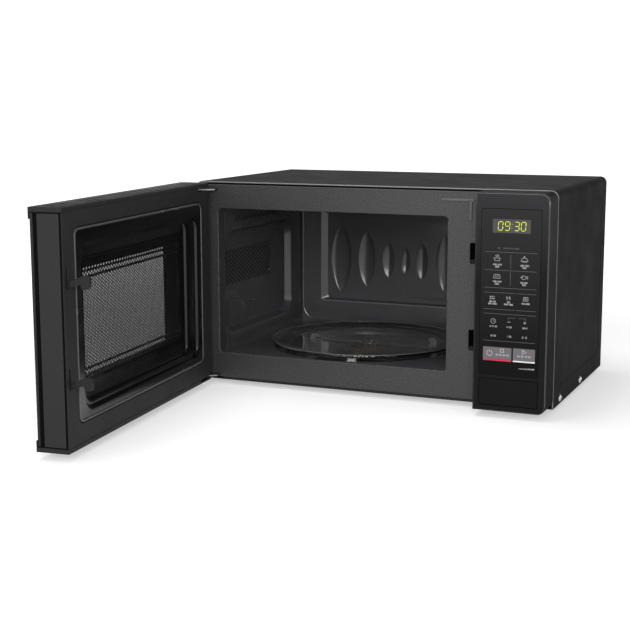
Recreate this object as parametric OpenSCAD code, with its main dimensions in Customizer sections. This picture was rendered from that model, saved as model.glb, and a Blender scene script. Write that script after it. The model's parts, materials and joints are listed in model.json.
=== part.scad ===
// Counter-top microwave oven, its side-hung door drawn open.
// Frame: +X to the right, +Y to the back, +Z up. The origin is the centre of the
// underside of the base plate, and the feet reach below it.
// The door pieces are drawn shut and then swung about the hinge pins.

/* [Cabinet] */
// Outside width of the cabinet
case_w = 455; // [430:1:550]
// Outside height of the cabinet above the underside of its base
case_h = 249; // [205:1:300]
// Front-to-back depth of the wrap-round case
case_d = 268; // [220:1:330]
// Thickness of the case sheet
case_sheet = 1; // [0.8:0.1:1.5]
// Outside radius of the two long top edges of the case
case_edge_r = 8; // [4:0.5:15]
// Depth of the shallow panel pressed into each side of the case
side_press = 0.4; // [0.2:0.1:0.5]
// Thickness of the inner steel sheets
sheet = 0.8; // [0.6:0.1:1.2]
// Height of the feet below the base
foot_h = 6; // [4:0.5:15]
// Diameter of a foot
foot_d = 19; // [14:1:28]
// Distance of the foot centres from the sides of the cabinet
foot_in = 50; // [40:1:70]
// Distance of the front feet from the front plate
foot_front = 60; // [50:1:80]

/* [Oven cavity] */
// Space between the left side of the cabinet and the cavity
cav_side_gap = 29.5; // [24:0.5:40]
// Space to the right of the cavity, which holds the works
bay_w = 127.5; // [122:0.5:150]
// Height of the cavity floor
cav_floor_z = 34; // [30:0.5:45]
// Space above the cavity
cav_roof_gap = 33; // [25:0.5:45]
// Space behind the cavity
cav_back_gap = 12; // [11:0.5:30]
// Corner radius of the cavity and of its opening
cav_r = 5; // [2:0.5:10]
// Depth of the pressed panel in the cavity's back wall
back_press = 5.5; // [3:0.5:6]
// Depth of the lens-shaped hollows in the back wall
dent_d = 3; // [1:0.5:3]
// Depth of the pressed panel in the cavity's left wall
wall_press = 6; // [3:0.5:10]

/* [Turntable] */
// Room left round the glass tray in the depth of the cavity
tray_room = 11; // [8:0.5:30]
// Height of the glass tray
tray_h = 9; // [8:0.5:16]
// Thickness of the glass
tray_t = 3.6; // [3:0.2:5]
// Diameter of a roller
roller_d = 11.6; // [9:0.2:12]
// Width of a roller
roller_w = 7; // [5:0.5:9]
// Diameter of the roller axles
axle_d = 3; // [2:0.1:4]
// Depth of the round well in the cavity floor
well_d = 12.5; // [11:0.5:14]
// Running gap below and above a roller
roller_gap = 0.2; // [0.1:0.05:0.3]
// Diameter of the turntable motor
motor_d = 49; // [40:1:55]
// Height of the turntable motor
motor_h = 14.5; // [12:0.5:16]

/* [Door] */
// Angle at which the door stands open
open_angle = 84.4; // [0:0.1:100]
// Gap between the shut door and the front plate
door_gap = 2.2; // [1.6:0.1:4]
// Gap between the shut door and the control panel
door_side_gap = 1.2; // [1:0.1:3]
// Height of the bottom edge of the door and of the control panel
face_z0 = 2; // [1:0.5:3]
// Distance of the hinge axis from the door's hinge edge
hinge_in = 5.8; // [5.6:0.1:8]
// Distance of the hinge axis behind the door's inner face
hinge_back = 18.3; // [17:0.1:20]
// Diameter of the hinge pins
hinge_pin_d = 5; // [4:0.5:6]
// Radial running clearance round pins and axles
run_gap = 0.05; // [0.02:0.01:0.1]
// Thickness of the hinge plates
hinge_t = 1.6; // [1.2:0.1:2]
// Wall thickness of the door frame
door_wall = 3; // [2:0.5:4]
// Thickness of the outer glass
door_glass_t = 3.2; // [3:0.1:4]
// Height of the top and bottom trims
trim_h = 5; // [4.8:0.1:6]
// Thickness of the trims' lips in front of the glass
lip_t = 1.4; // [1:0.1:2]
// Width of the frame face on the hinge side of the inner dish, below it and above it
dish_margin = [23.5, 25, 21.5]; // [20:0.5:30]
// Width of the frame face on the latch side of the dish
dish_latch_margin = 23.8; // [23.5:0.1:40]
// Depth of the inner dish
dish_d = 8.4; // [6:0.2:9]

/* [Latch] */
// Distance of the hooks' middle from the free edge of the door
hook_in = 7.9; // [7.6:0.1:9]
// Thickness of the hook plate
hook_t = 3.2; // [2.5:0.1:3.4]
// How far the hooks stand out of the door
hook_reach = 25; // [20:0.5:26]
// Lower ends of the two hook slots above the door's bottom edge
hook_slots = [64.3, 165.4]; // [60:0.1:170]
// Length of a hook slot
slot_h = 21.2; // [19:0.2:24]
// Travel of the hooks
hook_lift = 6; // [3:0.5:6]

/* [Control panel] */
// Width of the control panel
bezel_w = 83.5; // [82:0.5:95]
// Distance that the control panel and the shut door stand in front of the front plate
bezel_d = 39; // [38:0.5:45]
// Wall thickness of the control panel
bezel_wall = 2.5; // [2:0.5:3]
// Radius of the panel's right-hand corners, seen from the front
bezel_r = 9; // [4:0.5:12]
// Radius of the upright edge between the panel's front and its side
bezel_edge_r = 1.2; // [0.8:0.1:3]
// Size of the keypad overlay
overlay = [68, 187]; // [60:1:190]
// Thickness of the keypad overlay
overlay_t = 0.6; // [0.4:0.1:0.8]
// Size of the display window
window = [43, 15.4]; // [12:0.2:46]
// Size of the opening for the door button
button_hole = [68, 31]; // [28:0.5:70]
// Gap round the door button
button_gap = 0.5; // [0.3:0.1:1]
// Travel of the door button
button_travel = 5; // [3:0.5:5]

/* [Works] */
// Size of the waveguide across, along and up
guide = [23, 90, 70]; // [20:1:100]
// Size of the magnetron frame
mag = [54, 96, 64]; // [50:1:100]
// Number of cooling fins
fin_count = 8; // [5:1:9]
// Size of the transformer core
core = [84, 52, 70]; // [45:1:90]
// Diameter of the fan wheel
fan_d = 94; // [80:1:98]
// Number of fan blades
fan_blades = 5; // [3:1:7]

/* [Hidden] */
$fn = 48;
fit = 0.3;
e = 0.01;
left_x = -case_w / 2;
right_x = case_w / 2;
front_y = -case_d / 2;
back_y = case_d / 2;
face_z1 = case_h - 1;
inner_x = case_w / 2 - case_sheet - fit;
plate_z1 = case_h - case_sheet - fit;
plate_z0 = 3.4;
base_t = 1;

cav_x0 = left_x + cav_side_gap;
cav_x1 = right_x - bay_w;
cav_z1 = case_h - cav_roof_gap;
cav_y0 = front_y + sheet;
cav_y1 = back_y - cav_back_gap;
cav_x = (cav_x0 + cav_x1) / 2;
cav_z = (cav_floor_z + cav_z1) / 2;

tray_r = (min(cav_x1 - cav_x0, cav_y1 - front_y) - tray_room) / 2;
tt_y = (cav_y1 + front_y) / 2 - tray_room / 2 + 3;
well_r = tray_r - 4.5;
well_z = cav_floor_z - well_d;
axle_z = well_z + roller_gap + roller_d / 2;
tray_z = axle_z + roller_d / 2 + roller_gap;
wheel_r0 = tray_r - 34;
arm_h = 4;
hub_r = 24;
shaft_r = 3;
coupler_r = 17;
ring_turn = 40;

yi = front_y - door_gap;
yo = front_y - bezel_d;
bezel_x0 = right_x - bezel_w;
door_x0 = left_x;
door_x1 = bezel_x0 - door_side_gap;
hinge_x = door_x0 + hinge_in;
hinge_y = yi - hinge_back;
pin_r = hinge_pin_d / 2;
up_z = face_z1 - 8;
low_z = face_z0 + 3;
glass_y1 = yo + lip_t + door_glass_t;
edge_groove = [1.5, 5];
dish_x0 = door_x0 + dish_margin[0];
dish_x1 = door_x1 - dish_latch_margin;
dish_z0 = face_z0 + dish_margin[1];
dish_z1 = face_z1 - dish_margin[2];
dish_y = yi - dish_d;
dish_t = 1.2;
view_x0 = dish_x0 + 50;
view_x1 = dish_x1 - 32;
view_z0 = dish_z0 + 37;
view_z1 = dish_z1 - 36.5;
door_steel_y = dish_y - dish_t - 0.1;
stand_off = 4;

hook_x = door_x1 - hook_in;
hook_root = 7;
slide_y = yi - 13;
hook_plate_z0 = face_z0 + hook_slots[0] - 4;
hook_plate_z1 = face_z0 + hook_slots[1] + slot_h + 4;
latch_x0 = hook_x - 8.4;
latch_x1 = hook_x + 6.6;
latch_hole_h = slot_h + 3.2;
ledge_y1 = front_y + 12;
spring_len = 22;

panel_x = (bezel_x0 + right_x) / 2 - 1;
overlay_z1 = face_z1 - 17.5;
overlay_z0 = overlay_z1 - overlay[1];
window_z = overlay_z1 - 19;
button_z0 = face_z0 + 6.4;
button_y = yo;
rod_x = bezel_x0 + 11;
rod_w = 5;
rod_z = button_z0 + 14;
ramp = 0.8;
lift_max = ramp * button_travel;
board_y = yo + 13;

mag_x = cav_x1 + sheet + guide[0];
mag_y = front_y + 144;
mag_z = cav_z1 - 56;
fan_x = (cav_x1 + right_x) / 2;
fan_z = min(mag_z - 14, plate_z1 - 62);
fan_y1 = back_y - 1.6;
duct = [112, 112, 30];
trafo_x = cav_x1 + sheet + 11;
trafo_y = front_y + foot_front + foot_d / 2 + 6.5;
coil_out = 12;
can = [52, 30, 66];
can_x = right_x - 14 - can[0] / 2;
can_y = trafo_y + core[1] + coil_out + 4 + can[1] / 2;

screw_r = 1.7;
screw_hole_r = screw_r + 0.1;
side_screws = [front_y + 28.5, front_y + 135.5];
side_screw_z = 8;
rear_screws = [
    [left_x + 16, 14],
    [right_x - 16, 14],
    [left_x + 16, case_h - 14],
    [0, case_h - 10],
    [right_x - 16, case_h - 14]
];
inlet = [right_x - 30, 34];
inlet_r = 3.8;

foot_spots = [
    for (x = [left_x + foot_in, right_x - foot_in])
        for (y = [front_y + foot_front, back_y - 30])
            [x, y]
];

// ---- shared shapes ----

// Box between two opposite corners
module block(lo, hi) {
    translate(lo) cube(hi - lo);
}

// Rounded rectangle about the origin
module rounded(w, h, r) {
    square([w, h - 2 * r], center = true);
    square([w - 2 * r, h], center = true);
    for (sx = [-1, 1])
        for (sy = [-1, 1])
            translate([sx * (w / 2 - r), sy * (h / 2 - r)]) circle(r);
}

// Upright plate across Y, given by its X and Z limits
module plate_y(x, z, r, y) {
    translate([(x[0] + x[1]) / 2, y[1], (z[0] + z[1]) / 2])
        rotate([90, 0, 0])
            linear_extrude(y[1] - y[0]) rounded(x[1] - x[0], z[1] - z[0], r);
}

// Upright plate across X, given by its Y and Z limits
module plate_x(y, z, r, x) {
    translate([x[0], (y[0] + y[1]) / 2, (z[0] + z[1]) / 2])
        rotate([90, 0, 90])
            linear_extrude(x[1] - x[0]) rounded(y[1] - y[0], z[1] - z[0], r);
}

// Flat plate, given by its X and Y limits
module plate_z(x, y, r, z) {
    translate([(x[0] + x[1]) / 2, (y[0] + y[1]) / 2, z[0]])
        linear_extrude(z[1] - z[0]) rounded(x[1] - x[0], y[1] - y[0], r);
}

// Round bars along each axis
module bar_x(y, z, r, x) {
    translate([x[0], y, z]) rotate([0, 90, 0]) cylinder(r = r, h = x[1] - x[0]);
}

module bar_y(x, z, r, y) {
    translate([x, y[1], z]) rotate([90, 0, 0]) cylinder(r = r, h = y[1] - y[0]);
}

module bar_z(x, y, r, z) {
    translate([x, y, z[0]]) cylinder(r = r, h = z[1] - z[0]);
}

// Outline in Y and Z, given a thickness along X
module profile_x(points, x) {
    translate([x[0], 0, 0])
        rotate([90, 0, 90]) linear_extrude(x[1] - x[0]) polygon(points);
}

// Helical spring standing on the origin
module coil(r, wire_r, length, turns) {
    sides = 8;
    steps = 14 * turns;
    rise = length - 2 * wire_r;
    points = [
        for (i = [0 : steps])
            for (k = [0 : sides - 1])
                let (a = 360 * turns * i / steps)
                let (b = 360 * k / sides)
                let (d = r + wire_r * cos(b))
                [d * cos(a), d * sin(a), wire_r + rise * i / steps + wire_r * sin(b)]
    ];
    skin = [
        for (i = [0 : steps - 1])
            for (k = [0 : sides - 1])
                let (m = (k + 1) % sides)
                [i * sides + k, (i + 1) * sides + k, (i + 1) * sides + m, i * sides + m]
    ];
    start = [[for (k = [0 : sides - 1]) k]];
    end = [[for (k = [sides - 1 : -1 : 0]) steps * sides + k]];
    polyhedron(points, concat(skin, start, end), convexity = 10);
}

// Door pieces are drawn shut and swung open here
module swing() {
    translate([hinge_x, hinge_y, 0])
        rotate([0, 0, -open_angle])
            translate([-hinge_x, -hinge_y, 0]) children();
}

// ---- cabinet ----

// Section of the wrap-round case, inset by a distance
module case_section(inset, bottom) {
    w = case_w - 2 * inset;
    r = case_edge_r - inset;
    top = case_h - inset;
    translate([-w / 2, bottom]) square([w, top - r - bottom]);
    translate([-w / 2 + r, bottom]) square([w - 2 * r, top - bottom]);
    for (s = [-1, 1]) translate([s * (w / 2 - r), top - r]) circle(r);
}

module outer_case() color("#2c2c2d") difference() {
    translate([0, back_y, 0]) rotate([90, 0, 0]) linear_extrude(case_d) difference() {
        case_section(0, 0);
        case_section(case_sheet, -1);
    }
    for (s = [-1, 1]) {
        outer = s * case_w / 2;
        plate_x(
            [front_y + 22, back_y - 22], [22, case_h - 24], 14,
            [min(outer + s, outer - s * side_press), max(outer + s, outer - s * side_press)]
        );
        for (y = side_screws)
            bar_x(y, side_screw_z, screw_hole_r, [outer - 3, outer + 3]);
    }
}

module rear_panel() color("#3a3a3b") difference() {
    plate_y([-inner_x, inner_x], [base_t + 0.2, plate_z1], 6, [back_y - 1.6, back_y - 0.8]);
    for (i = [0 : 9])
        plate_y(
            [fan_x - 38, fan_x + 38],
            [fan_z - 37 + 8 * i, fan_z - 34 + 8 * i], 1.4,
            [back_y - 3, back_y]
        );
    for (i = [0 : 6])
        plate_y(
            [cav_x0 + 12 + 12 * i, cav_x0 + 16 + 12 * i],
            [cav_z1 + 6, cav_z1 + 20], 1.9,
            [back_y - 3, back_y]
        );
    for (s = rear_screws) bar_y(s[0], s[1], screw_hole_r, [back_y - 3, back_y]);
    bar_y(inlet[0], inlet[1], inlet_r + 2.6, [back_y - 3, back_y]);
}

module base_plate() color("#8f9294") difference() {
    union() {
        block([-inner_x, front_y + sheet, 0], [inner_x, back_y - 1.6, base_t]);
        for (s = [-1, 1])
            block(
                [s < 0 ? -inner_x : inner_x - base_t, front_y + sheet, 0],
                [s < 0 ? -inner_x + base_t : inner_x, back_y - 1.6, 16]
            );
        block([hinge_x + 28, front_y + sheet, 0], [bezel_x0 - 4, front_y + sheet + base_t, 12]);
        block([-inner_x, back_y - 1.6 - base_t, 0], [inner_x, back_y - 1.6, 12]);
        for (p = foot_spots) bar_z(p[0], p[1], foot_d / 2 + 2.4, [0, 2.4]);
    }
    for (p = foot_spots) {
        bar_z(p[0], p[1], foot_d / 2 + 0.7, [-1, 1.2]);
        bar_z(p[0], p[1], 3, [-1, 4]);
    }
    for (i = [0 : 5])
        plate_z([cav_x0 + 40 + 14 * i, cav_x0 + 45 + 14 * i], [back_y - 62, back_y - 22], 2.4, [-1, 2]);
    for (i = [0 : 5])
        plate_z([fan_x - 37 + 14 * i, fan_x - 32 + 14 * i], [back_y - 82, back_y - 52], 2.4, [-1, 2]);
    for (s = [-1, 1])
        for (y = side_screws)
            bar_x(y, side_screw_z, screw_hole_r, [s * inner_x - 3, s * inner_x + 3]);
    for (s = [0, 1])
        bar_y(rear_screws[s][0], 8, 0.8, [back_y - 5, back_y]);
}

module feet() color("#1b1b1c") {
    for (p = foot_spots) {
        translate([p[0], p[1], -foot_h]) cylinder(r1 = foot_d / 2 - 1.2, r2 = foot_d / 2, h = 3);
        bar_z(p[0], p[1], foot_d / 2, [3 - foot_h, 1.2]);
        bar_z(p[0], p[1], 3, [1, 3]);
        bar_z(p[0], p[1], 5, [2.4, 4.2]);
    }
}

// Lower end of the front plate hole of one hook slot
function hole_z0(slot) = face_z0 + slot - 5.1;

module front_plate() color("#4b4b4c") difference() {
    union() {
        plate_y([-inner_x, inner_x], [plate_z0, plate_z1], 6, [front_y, front_y + sheet]);
        difference() {
            plate_y([-inner_x, inner_x], [plate_z0, plate_z1], 6, [front_y, front_y + 9]);
            plate_y(
                [sheet - inner_x, inner_x - sheet], [plate_z0 - 20, plate_z1 - sheet],
                5, [front_y - 1, front_y + 10]
            );
            block([-inner_x - 1, front_y - 1, 0], [inner_x + 1, front_y + 10, 20]);
        }
        plate_y([hook_x - 44, hook_x - 3.5], [case_h - 15.2, case_h - 11.8], 1.6, [front_y - 1, front_y]);
        plate_y([hook_x - 10, hook_x - 6.6], [case_h - 37, case_h - 12.2], 1.6, [front_y - 1, front_y]);
    }
    plate_y([cav_x0, cav_x1], [cav_floor_z, cav_z1], cav_r, [front_y - 2, front_y + 4]);
    for (s = hook_slots)
        plate_y([latch_x0, latch_x1], [hole_z0(s), hole_z0(s) + latch_hole_h], 1.5, [front_y - 2, front_y + 2]);
    plate_y([bezel_x0 + 14, right_x - 14], [overlay_z0 + 14, overlay_z1 - 8], 4, [front_y - 2, front_y + 2]);
    block([rod_x - 4, front_y - 2, rod_z - 9], [rod_x + rod_w + 4, front_y + 2, rod_z + 12]);
    for (z = [up_z - hinge_t - fit, low_z - fit])
        block([hinge_x + 4.4, front_y - 2, z], [hinge_x + 24.2, front_y + 2, z + hinge_t + 2 * fit]);
}

// ---- oven cavity ----

// Limits of the pressed panel in the left wall
wall_press_y = [front_y + 12, cav_y1 - 36];
wall_press_z = [cav_floor_z + 18, cav_z1 - 30];
guide_port_y = [mag_y - 34, mag_y + 34];
guide_port_z = [mag_z - 27, mag_z + 27];

// Solid under a pressed panel in the left wall, from a start towards the outside
module wall_hollow(start, grow) {
    hull() {
        plate_x(
            [wall_press_y[0] - grow, wall_press_y[1] + grow],
            [wall_press_z[0] - grow, wall_press_z[1] + grow], 24 + grow,
            [start - e, start]
        );
        plate_x(
            [wall_press_y[0] + 8 - grow, wall_press_y[1] - 16 + grow],
            [wall_press_z[0] + 8 - grow, wall_press_z[1] - 8 + grow], 16 + grow,
            [start - wall_press, start - wall_press + e]
        );
    }
}

module cavity_walls() color("#38383a") difference() {
    union() {
        plate_y(
            [cav_x0 - sheet, cav_x1 + sheet], [cav_floor_z - 20, cav_z1 + sheet],
            cav_r + sheet, [cav_y0, cav_y1]
        );
        wall_hollow(cav_x0 - sheet, 0.4);
    }
    plate_y([cav_x0, cav_x1], [cav_floor_z - 30, cav_z1], cav_r, [cav_y0 - 1, cav_y1 + 1]);
    wall_hollow(cav_x0 + e, 0);
    block([cav_x0 - 20, front_y, 0], [cav_x1 + 20, back_y, cav_floor_z]);
    plate_x(guide_port_y, guide_port_z, 3, [cav_x1 - 1, cav_x1 + 2]);
}

// Lens outline, standing upright
module lens(half_w, half_h) {
    r = (half_h * half_h + half_w * half_w) / (2 * half_w);
    intersection() {
        translate([r - half_w, 0]) circle(r, $fn = 96);
        translate([half_w - r, 0]) circle(r, $fn = 96);
    }
}

// Offset from the middle hollow, half width and half height of each hollow
dents = [[-96, 15.8, 48], [-56.7, 12.5, 38.5], [-24.3, 9, 25], [0, 7.2, 19], [24.3, 9, 25], [56.7, 12.5, 38.5], [91, 15.8, 48]];
dent_x = cav_x + 4.7;
press_y = cav_y1 + back_press;

module dent_row(grow, y) {
    for (d = dents)
        translate([dent_x + d[0], y[1], cav_z + 2])
            rotate([90, 0, 0]) linear_extrude(y[1] - y[0]) lens(d[1] + grow, d[2] + grow);
}

module back_hollow(grow, y0) {
    x = [cav_x0 + 29.5 - grow, cav_x1 - 29.5 + grow];
    z = [cav_floor_z + 31 - grow, cav_z1 - 26 + grow];
    hull() {
        plate_y(x, z, 3 + grow, [y0, y0 + e]);
        plate_y([x[0] + 6, x[1] - 6], [z[0] + 5, z[1] - 5], 3, [press_y + (y0 > cav_y1 ? sheet : 0) - e, press_y + (y0 > cav_y1 ? sheet : 0)]);
    }
}

module cavity_back() color("#38383a") difference() {
    union() {
        plate_y(
            [cav_x0 - sheet, cav_x1 + sheet], [cav_floor_z - sheet, cav_z1 + sheet],
            cav_r + sheet, [cav_y1, cav_y1 + sheet]
        );
        back_hollow(sheet, cav_y1 + sheet);
        dent_row(sheet, [press_y, press_y + dent_d + sheet]);
    }
    back_hollow(0, cav_y1 - e);
    dent_row(0, [press_y - 1, press_y + dent_d]);
}

module cavity_floor() color("#38383a") difference() {
    union() {
        block([cav_x0 - sheet, cav_y0, cav_floor_z - sheet], [cav_x1 + sheet, cav_y1, cav_floor_z]);
        bar_z(cav_x, tt_y, well_r + sheet, [well_z - sheet, cav_floor_z]);
    }
    bar_z(cav_x, tt_y, well_r, [well_z, cav_floor_z + 1]);
    bar_z(cav_x, tt_y, 8, [well_z - 2, well_z + 1]);
}

module waveguide() color("#a9acae") difference() {
    block(
        [cav_x1 + sheet, mag_y - guide[1] / 2, mag_z - guide[2] / 2],
        [mag_x, mag_y + guide[1] / 2, mag_z + guide[2] / 2]
    );
    block(
        [cav_x1, mag_y - guide[1] / 2 + sheet, mag_z - guide[2] / 2 + sheet],
        [mag_x - sheet, mag_y + guide[1] / 2 - sheet, mag_z + guide[2] / 2 - sheet]
    );
    bar_x(mag_y, mag_z, 9.5, [mag_x - 3, mag_x + 1]);
}

module waveguide_cover() color("#9b8f78")
    plate_x(
        [guide_port_y[0] - 5, guide_port_y[1] + 5], [guide_port_z[0] - 5, guide_port_z[1] + 5],
        4, [cav_x1 - 0.6, cav_x1]
    );

// ---- magnetron ----

mag_wall = 1.6;
tube_r = 17;

module magnetron_frame() color("#b9bcbe") difference() {
    block([mag_x, mag_y - mag[1] / 2, mag_z - mag[2] / 2], [mag_x + mag[0], mag_y + mag[1] / 2, mag_z + mag[2] / 2]);
    block(
        [mag_x + mag_wall, mag_y - mag[1] / 2 - 1, mag_z - mag[2] / 2 + mag_wall],
        [mag_x + mag[0] - mag_wall, mag_y + mag[1] / 2 + 1, mag_z + mag[2] / 2 - mag_wall]
    );
    bar_x(mag_y, mag_z, 8, [mag_x - 1, mag_x + 3]);
    bar_x(mag_y, mag_z, 8, [mag_x + mag[0] - 3, mag_x + mag[0] + 1]);
}

module magnetron_tube() color("#c9c4b8") {
    bar_x(mag_y, mag_z, tube_r, [mag_x + mag_wall, mag_x + mag[0] - mag_wall]);
    bar_x(mag_y, mag_z, 8, [mag_x - 14, mag_x + mag_wall + 1]);
    bar_x(mag_y, mag_z, 6.5, [mag_x - 19, mag_x - 14]);
    bar_x(mag_y, mag_z, 8, [mag_x + mag[0] - mag_wall - 1, mag_x + mag[0] + 1]);
    block(
        [mag_x + mag[0], mag_y - 30, mag_z - 22],
        [mag_x + mag[0] + 20, mag_y + 30, mag_z + 22]
    );
}

module magnetron_fins() color("#c4c7c9") {
    pitch = (mag[0] - 2 * mag_wall - 12) / (fin_count - 1);
    for (i = [0 : fin_count - 1]) difference() {
        x = mag_x + mag_wall + 6 + pitch * i;
        plate_x(
            [mag_y - mag[1] / 2 + 4, mag_y + mag[1] / 2 - 4],
            [mag_z - mag[2] / 2 + mag_wall, mag_z + mag[2] / 2 - mag_wall],
            3, [x - 0.3, x + 0.3]
        );
        bar_x(mag_y, mag_z, tube_r, [x - 1, x + 1]);
    }
}

// ---- high-voltage supply ----

leg = core[0] / 6;
coil_gap = 1;

module transformer_core() color("#55585a") {
    x = trafo_x;
    y = trafo_y;
    difference() {
        block([x, y, base_t], [x + core[0], y + core[1], base_t + core[2]]);
        for (s = [leg, core[0] / 2 + leg])
            block([x + s, y - 1, base_t + leg], [x + s + leg, y + core[1] + 1, base_t + core[2] - leg]);
    }
}

module transformer_coils() color("#8a5a2e") {
    x = trafo_x + core[0] / 2;
    y = trafo_y + core[1] / 2;
    half = (core[2] - 2 * leg) / 2;
    for (s = [0, 1]) {
        z0 = base_t + leg + fit + s * half;
        difference() {
            plate_z(
                [x - 2 * leg + fit, x + 2 * leg - fit],
                [y - core[1] / 2 - coil_out, y + core[1] / 2 + coil_out],
                8, [z0, z0 + half - 2 * fit]
            );
            block([x - leg - e, y - core[1] / 2 - e, z0 - 1], [x + leg + e, y + core[1] / 2 + e, z0 + half + 1]);
        }
    }
}

module capacitor() color("#c0c3c6") {
    plate_z([can_x - can[0] / 2, can_x + can[0] / 2], [can_y - can[1] / 2, can_y + can[1] / 2], can[1] / 2 - 0.5, [base_t, base_t + can[2]]);
    for (s = [-1, 1]) {
        bar_z(can_x + s * 10, can_y, 4.5, [base_t + can[2], base_t + can[2] + 5]);
        block([can_x + s * 10 - 3, can_y - 0.4, base_t + can[2] + 5], [can_x + s * 10 + 3, can_y + 0.4, base_t + can[2] + 13]);
    }
}

module capacitor_strap() color("#9a9da0") {
    z = [base_t + 20, base_t + 32];
    difference() {
        union() {
            plate_z([can_x - can[0] / 2 - 1, can_x + can[0] / 2 + 1], [can_y - can[1] / 2 - 1, can_y + can[1] / 2 + 1], can[1] / 2 + 0.5, z);
            block([can_x - can[0] / 2 - 10, can_y + can[1] / 2, z[0]], [can_x, can_y + can[1] / 2 + 1, z[1]]);
        }
        plate_z([can_x - can[0] / 2, can_x + can[0] / 2], [can_y - can[1] / 2, can_y + can[1] / 2], can[1] / 2 - 0.5, [z[0] - 1, z[1] + 1]);
    }
    block([can_x - can[0] / 2 - 11, can_y + can[1] / 2, base_t], [can_x - can[0] / 2 - 10, can_y + can[1] / 2 + 12, z[1]]);
}

module hv_diode() color("#222222") {
    y = can_y - 4;
    x = can_x - can[0] / 2 - 38;
    bar_x(y, base_t + 4, 3, [x, x + 20]);
    bar_x(y, base_t + 4, 0.6, [x - 6, x + 26]);
    for (s = [-6, 24]) block([x + s, y - 4, base_t], [x + s + 2, y + 4, base_t + 5]);
}

// ---- fan ----

motor_y0 = fan_y1 - duct[2] - 26;
fan_hub_y = [fan_y1 - 24, fan_y1 - 8];

module fan_housing() color("#d8d6cf") {
    difference() {
        block([fan_x - duct[0] / 2, fan_y1 - duct[2], fan_z - duct[1] / 2], [fan_x + duct[0] / 2, fan_y1, fan_z + duct[1] / 2]);
        block([fan_x - duct[0] / 2 + 2, fan_y1 - duct[2] + 2, fan_z - duct[1] / 2 + 2], [fan_x + duct[0] / 2 - 2, fan_y1 + 1, fan_z + duct[1] / 2 - 2]);
        bar_y(fan_x, fan_z, fan_d / 2 + 2, [fan_y1 - duct[2] - 1, fan_y1 - duct[2] + 3]);
    }
    for (s = [-1, 1])
        block([fan_x + s * 26 - 3, fan_y1 - duct[2] - 4, fan_z - 53], [fan_x + s * 26 + 3, fan_y1 - duct[2], fan_z + 53]);
}

module fan_motor() color("#6b6e70") {
    y1 = fan_y1 - duct[2] - 4;
    difference() {
        union() {
            block([fan_x - 31, motor_y0, fan_z - 24], [fan_x + 31, y1, fan_z + 24]);
            bar_y(fan_x, fan_z, 15, [y1 - 1, y1 + 4]);
            bar_y(fan_x, fan_z, 15, [motor_y0 - 6, motor_y0 + 1]);
        }
        bar_y(fan_x, fan_z, 2 + run_gap, [y1 - 12, y1 + 5]);
    }
}

module fan_wheel() color("#dedcd6") {
    hub = fan_hub_y;
    bar_y(fan_x, fan_z, 2, [fan_y1 - duct[2] - 14, hub[0] + 1]);
    bar_y(fan_x, fan_z, 13, hub);
    for (i = [0 : fan_blades - 1])
        translate([fan_x, (hub[0] + hub[1]) / 2, fan_z])
            rotate([0, 360 * i / fan_blades, 0])
                translate([12, 0, 0]) rotate([32, 0, 0])
                    translate([0, -0.8, -15]) cube([fan_d / 2 - 14, 1.6, 30]);
}

// ---- lamp, cutouts, mains inlet ----

lamp_y = mag_y + guide[1] / 2 + 22;
lamp_z = cav_z1 - 26;

module lamp_holder() color("#d9d5c8") difference() {
    block([cav_x1 + sheet, lamp_y - 16, lamp_z - 14], [cav_x1 + sheet + 3, lamp_y + 16, lamp_z + 34]);
    bar_x(lamp_y, lamp_z, 12, [cav_x1, cav_x1 + 5]);
}

module cavity_lamp() color("#f2ead2") {
    bar_x(lamp_y, lamp_z, 10, [cav_x1 + sheet + 8, cav_x1 + sheet + 24]);
    translate([cav_x1 + sheet + 10.5, lamp_y, lamp_z]) sphere(9.7);
    bar_x(lamp_y, lamp_z, 7, [cav_x1 + sheet + 24, cav_x1 + sheet + 34]);
    block([cav_x1 + sheet + 3, lamp_y - 3, lamp_z + 13], [cav_x1 + sheet + 33, lamp_y + 3, lamp_z + 15]);
    block([cav_x1 + sheet + 31, lamp_y - 3, lamp_z + 5], [cav_x1 + sheet + 33, lamp_y + 3, lamp_z + 15]);
}

module thermal_cutouts() color("#2b2b2d") {
    bar_z(mag_x + mag[0] / 2, mag_y, 8, [mag_z + mag[2] / 2, mag_z + mag[2] / 2 + 6]);
    bar_z(cav_x1 - 40, cav_y1 - 60, 8, [cav_z1 + sheet, cav_z1 + sheet + 6]);
    for (s = [-4, 4]) {
        block([mag_x + mag[0] / 2 + s - 1.5, mag_y - 0.4, mag_z + mag[2] / 2 + 6], [mag_x + mag[0] / 2 + s + 1.5, mag_y + 0.4, mag_z + mag[2] / 2 + 13]);
        block([cav_x1 - 40 + s - 1.5, cav_y1 - 60.4, cav_z1 + sheet + 6], [cav_x1 - 40 + s + 1.5, cav_y1 - 59.6, cav_z1 + sheet + 13]);
    }
}

pcb_x = cav_x1 + 20;
pcb_y = back_y - 12;

module filter_board() color("#2f5d3a") {
    block([pcb_x, pcb_y, 16], [pcb_x + 62, pcb_y + 1.6, 74]);
    for (x = [pcb_x + 6, pcb_x + 56])
        for (z = [22, 68])
            bar_y(x, z, 2.5, [pcb_y + 1.6, back_y - 1.6]);
    block([pcb_x + 8, pcb_y - 14, 24], [pcb_x + 26, pcb_y, 36]);
    translate([pcb_x + 42, pcb_y - 9, 56]) difference() {
        translate([0, 9, 0]) rotate([90, 0, 0]) cylinder(r = 12, h = 12);
        translate([0, 10, 0]) rotate([90, 0, 0]) cylinder(r = 5, h = 14);
    }
}

module mains_fuse() color("#e6e2d6") {
    z = 46;
    bar_x(pcb_y - 4.6, z, 3, [pcb_x + 5, pcb_x + 25]);
    for (x = [pcb_x + 4, pcb_x + 23])
        block([x, pcb_y - 8, z - 4], [x + 3, pcb_y, z + 4]);
}

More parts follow.
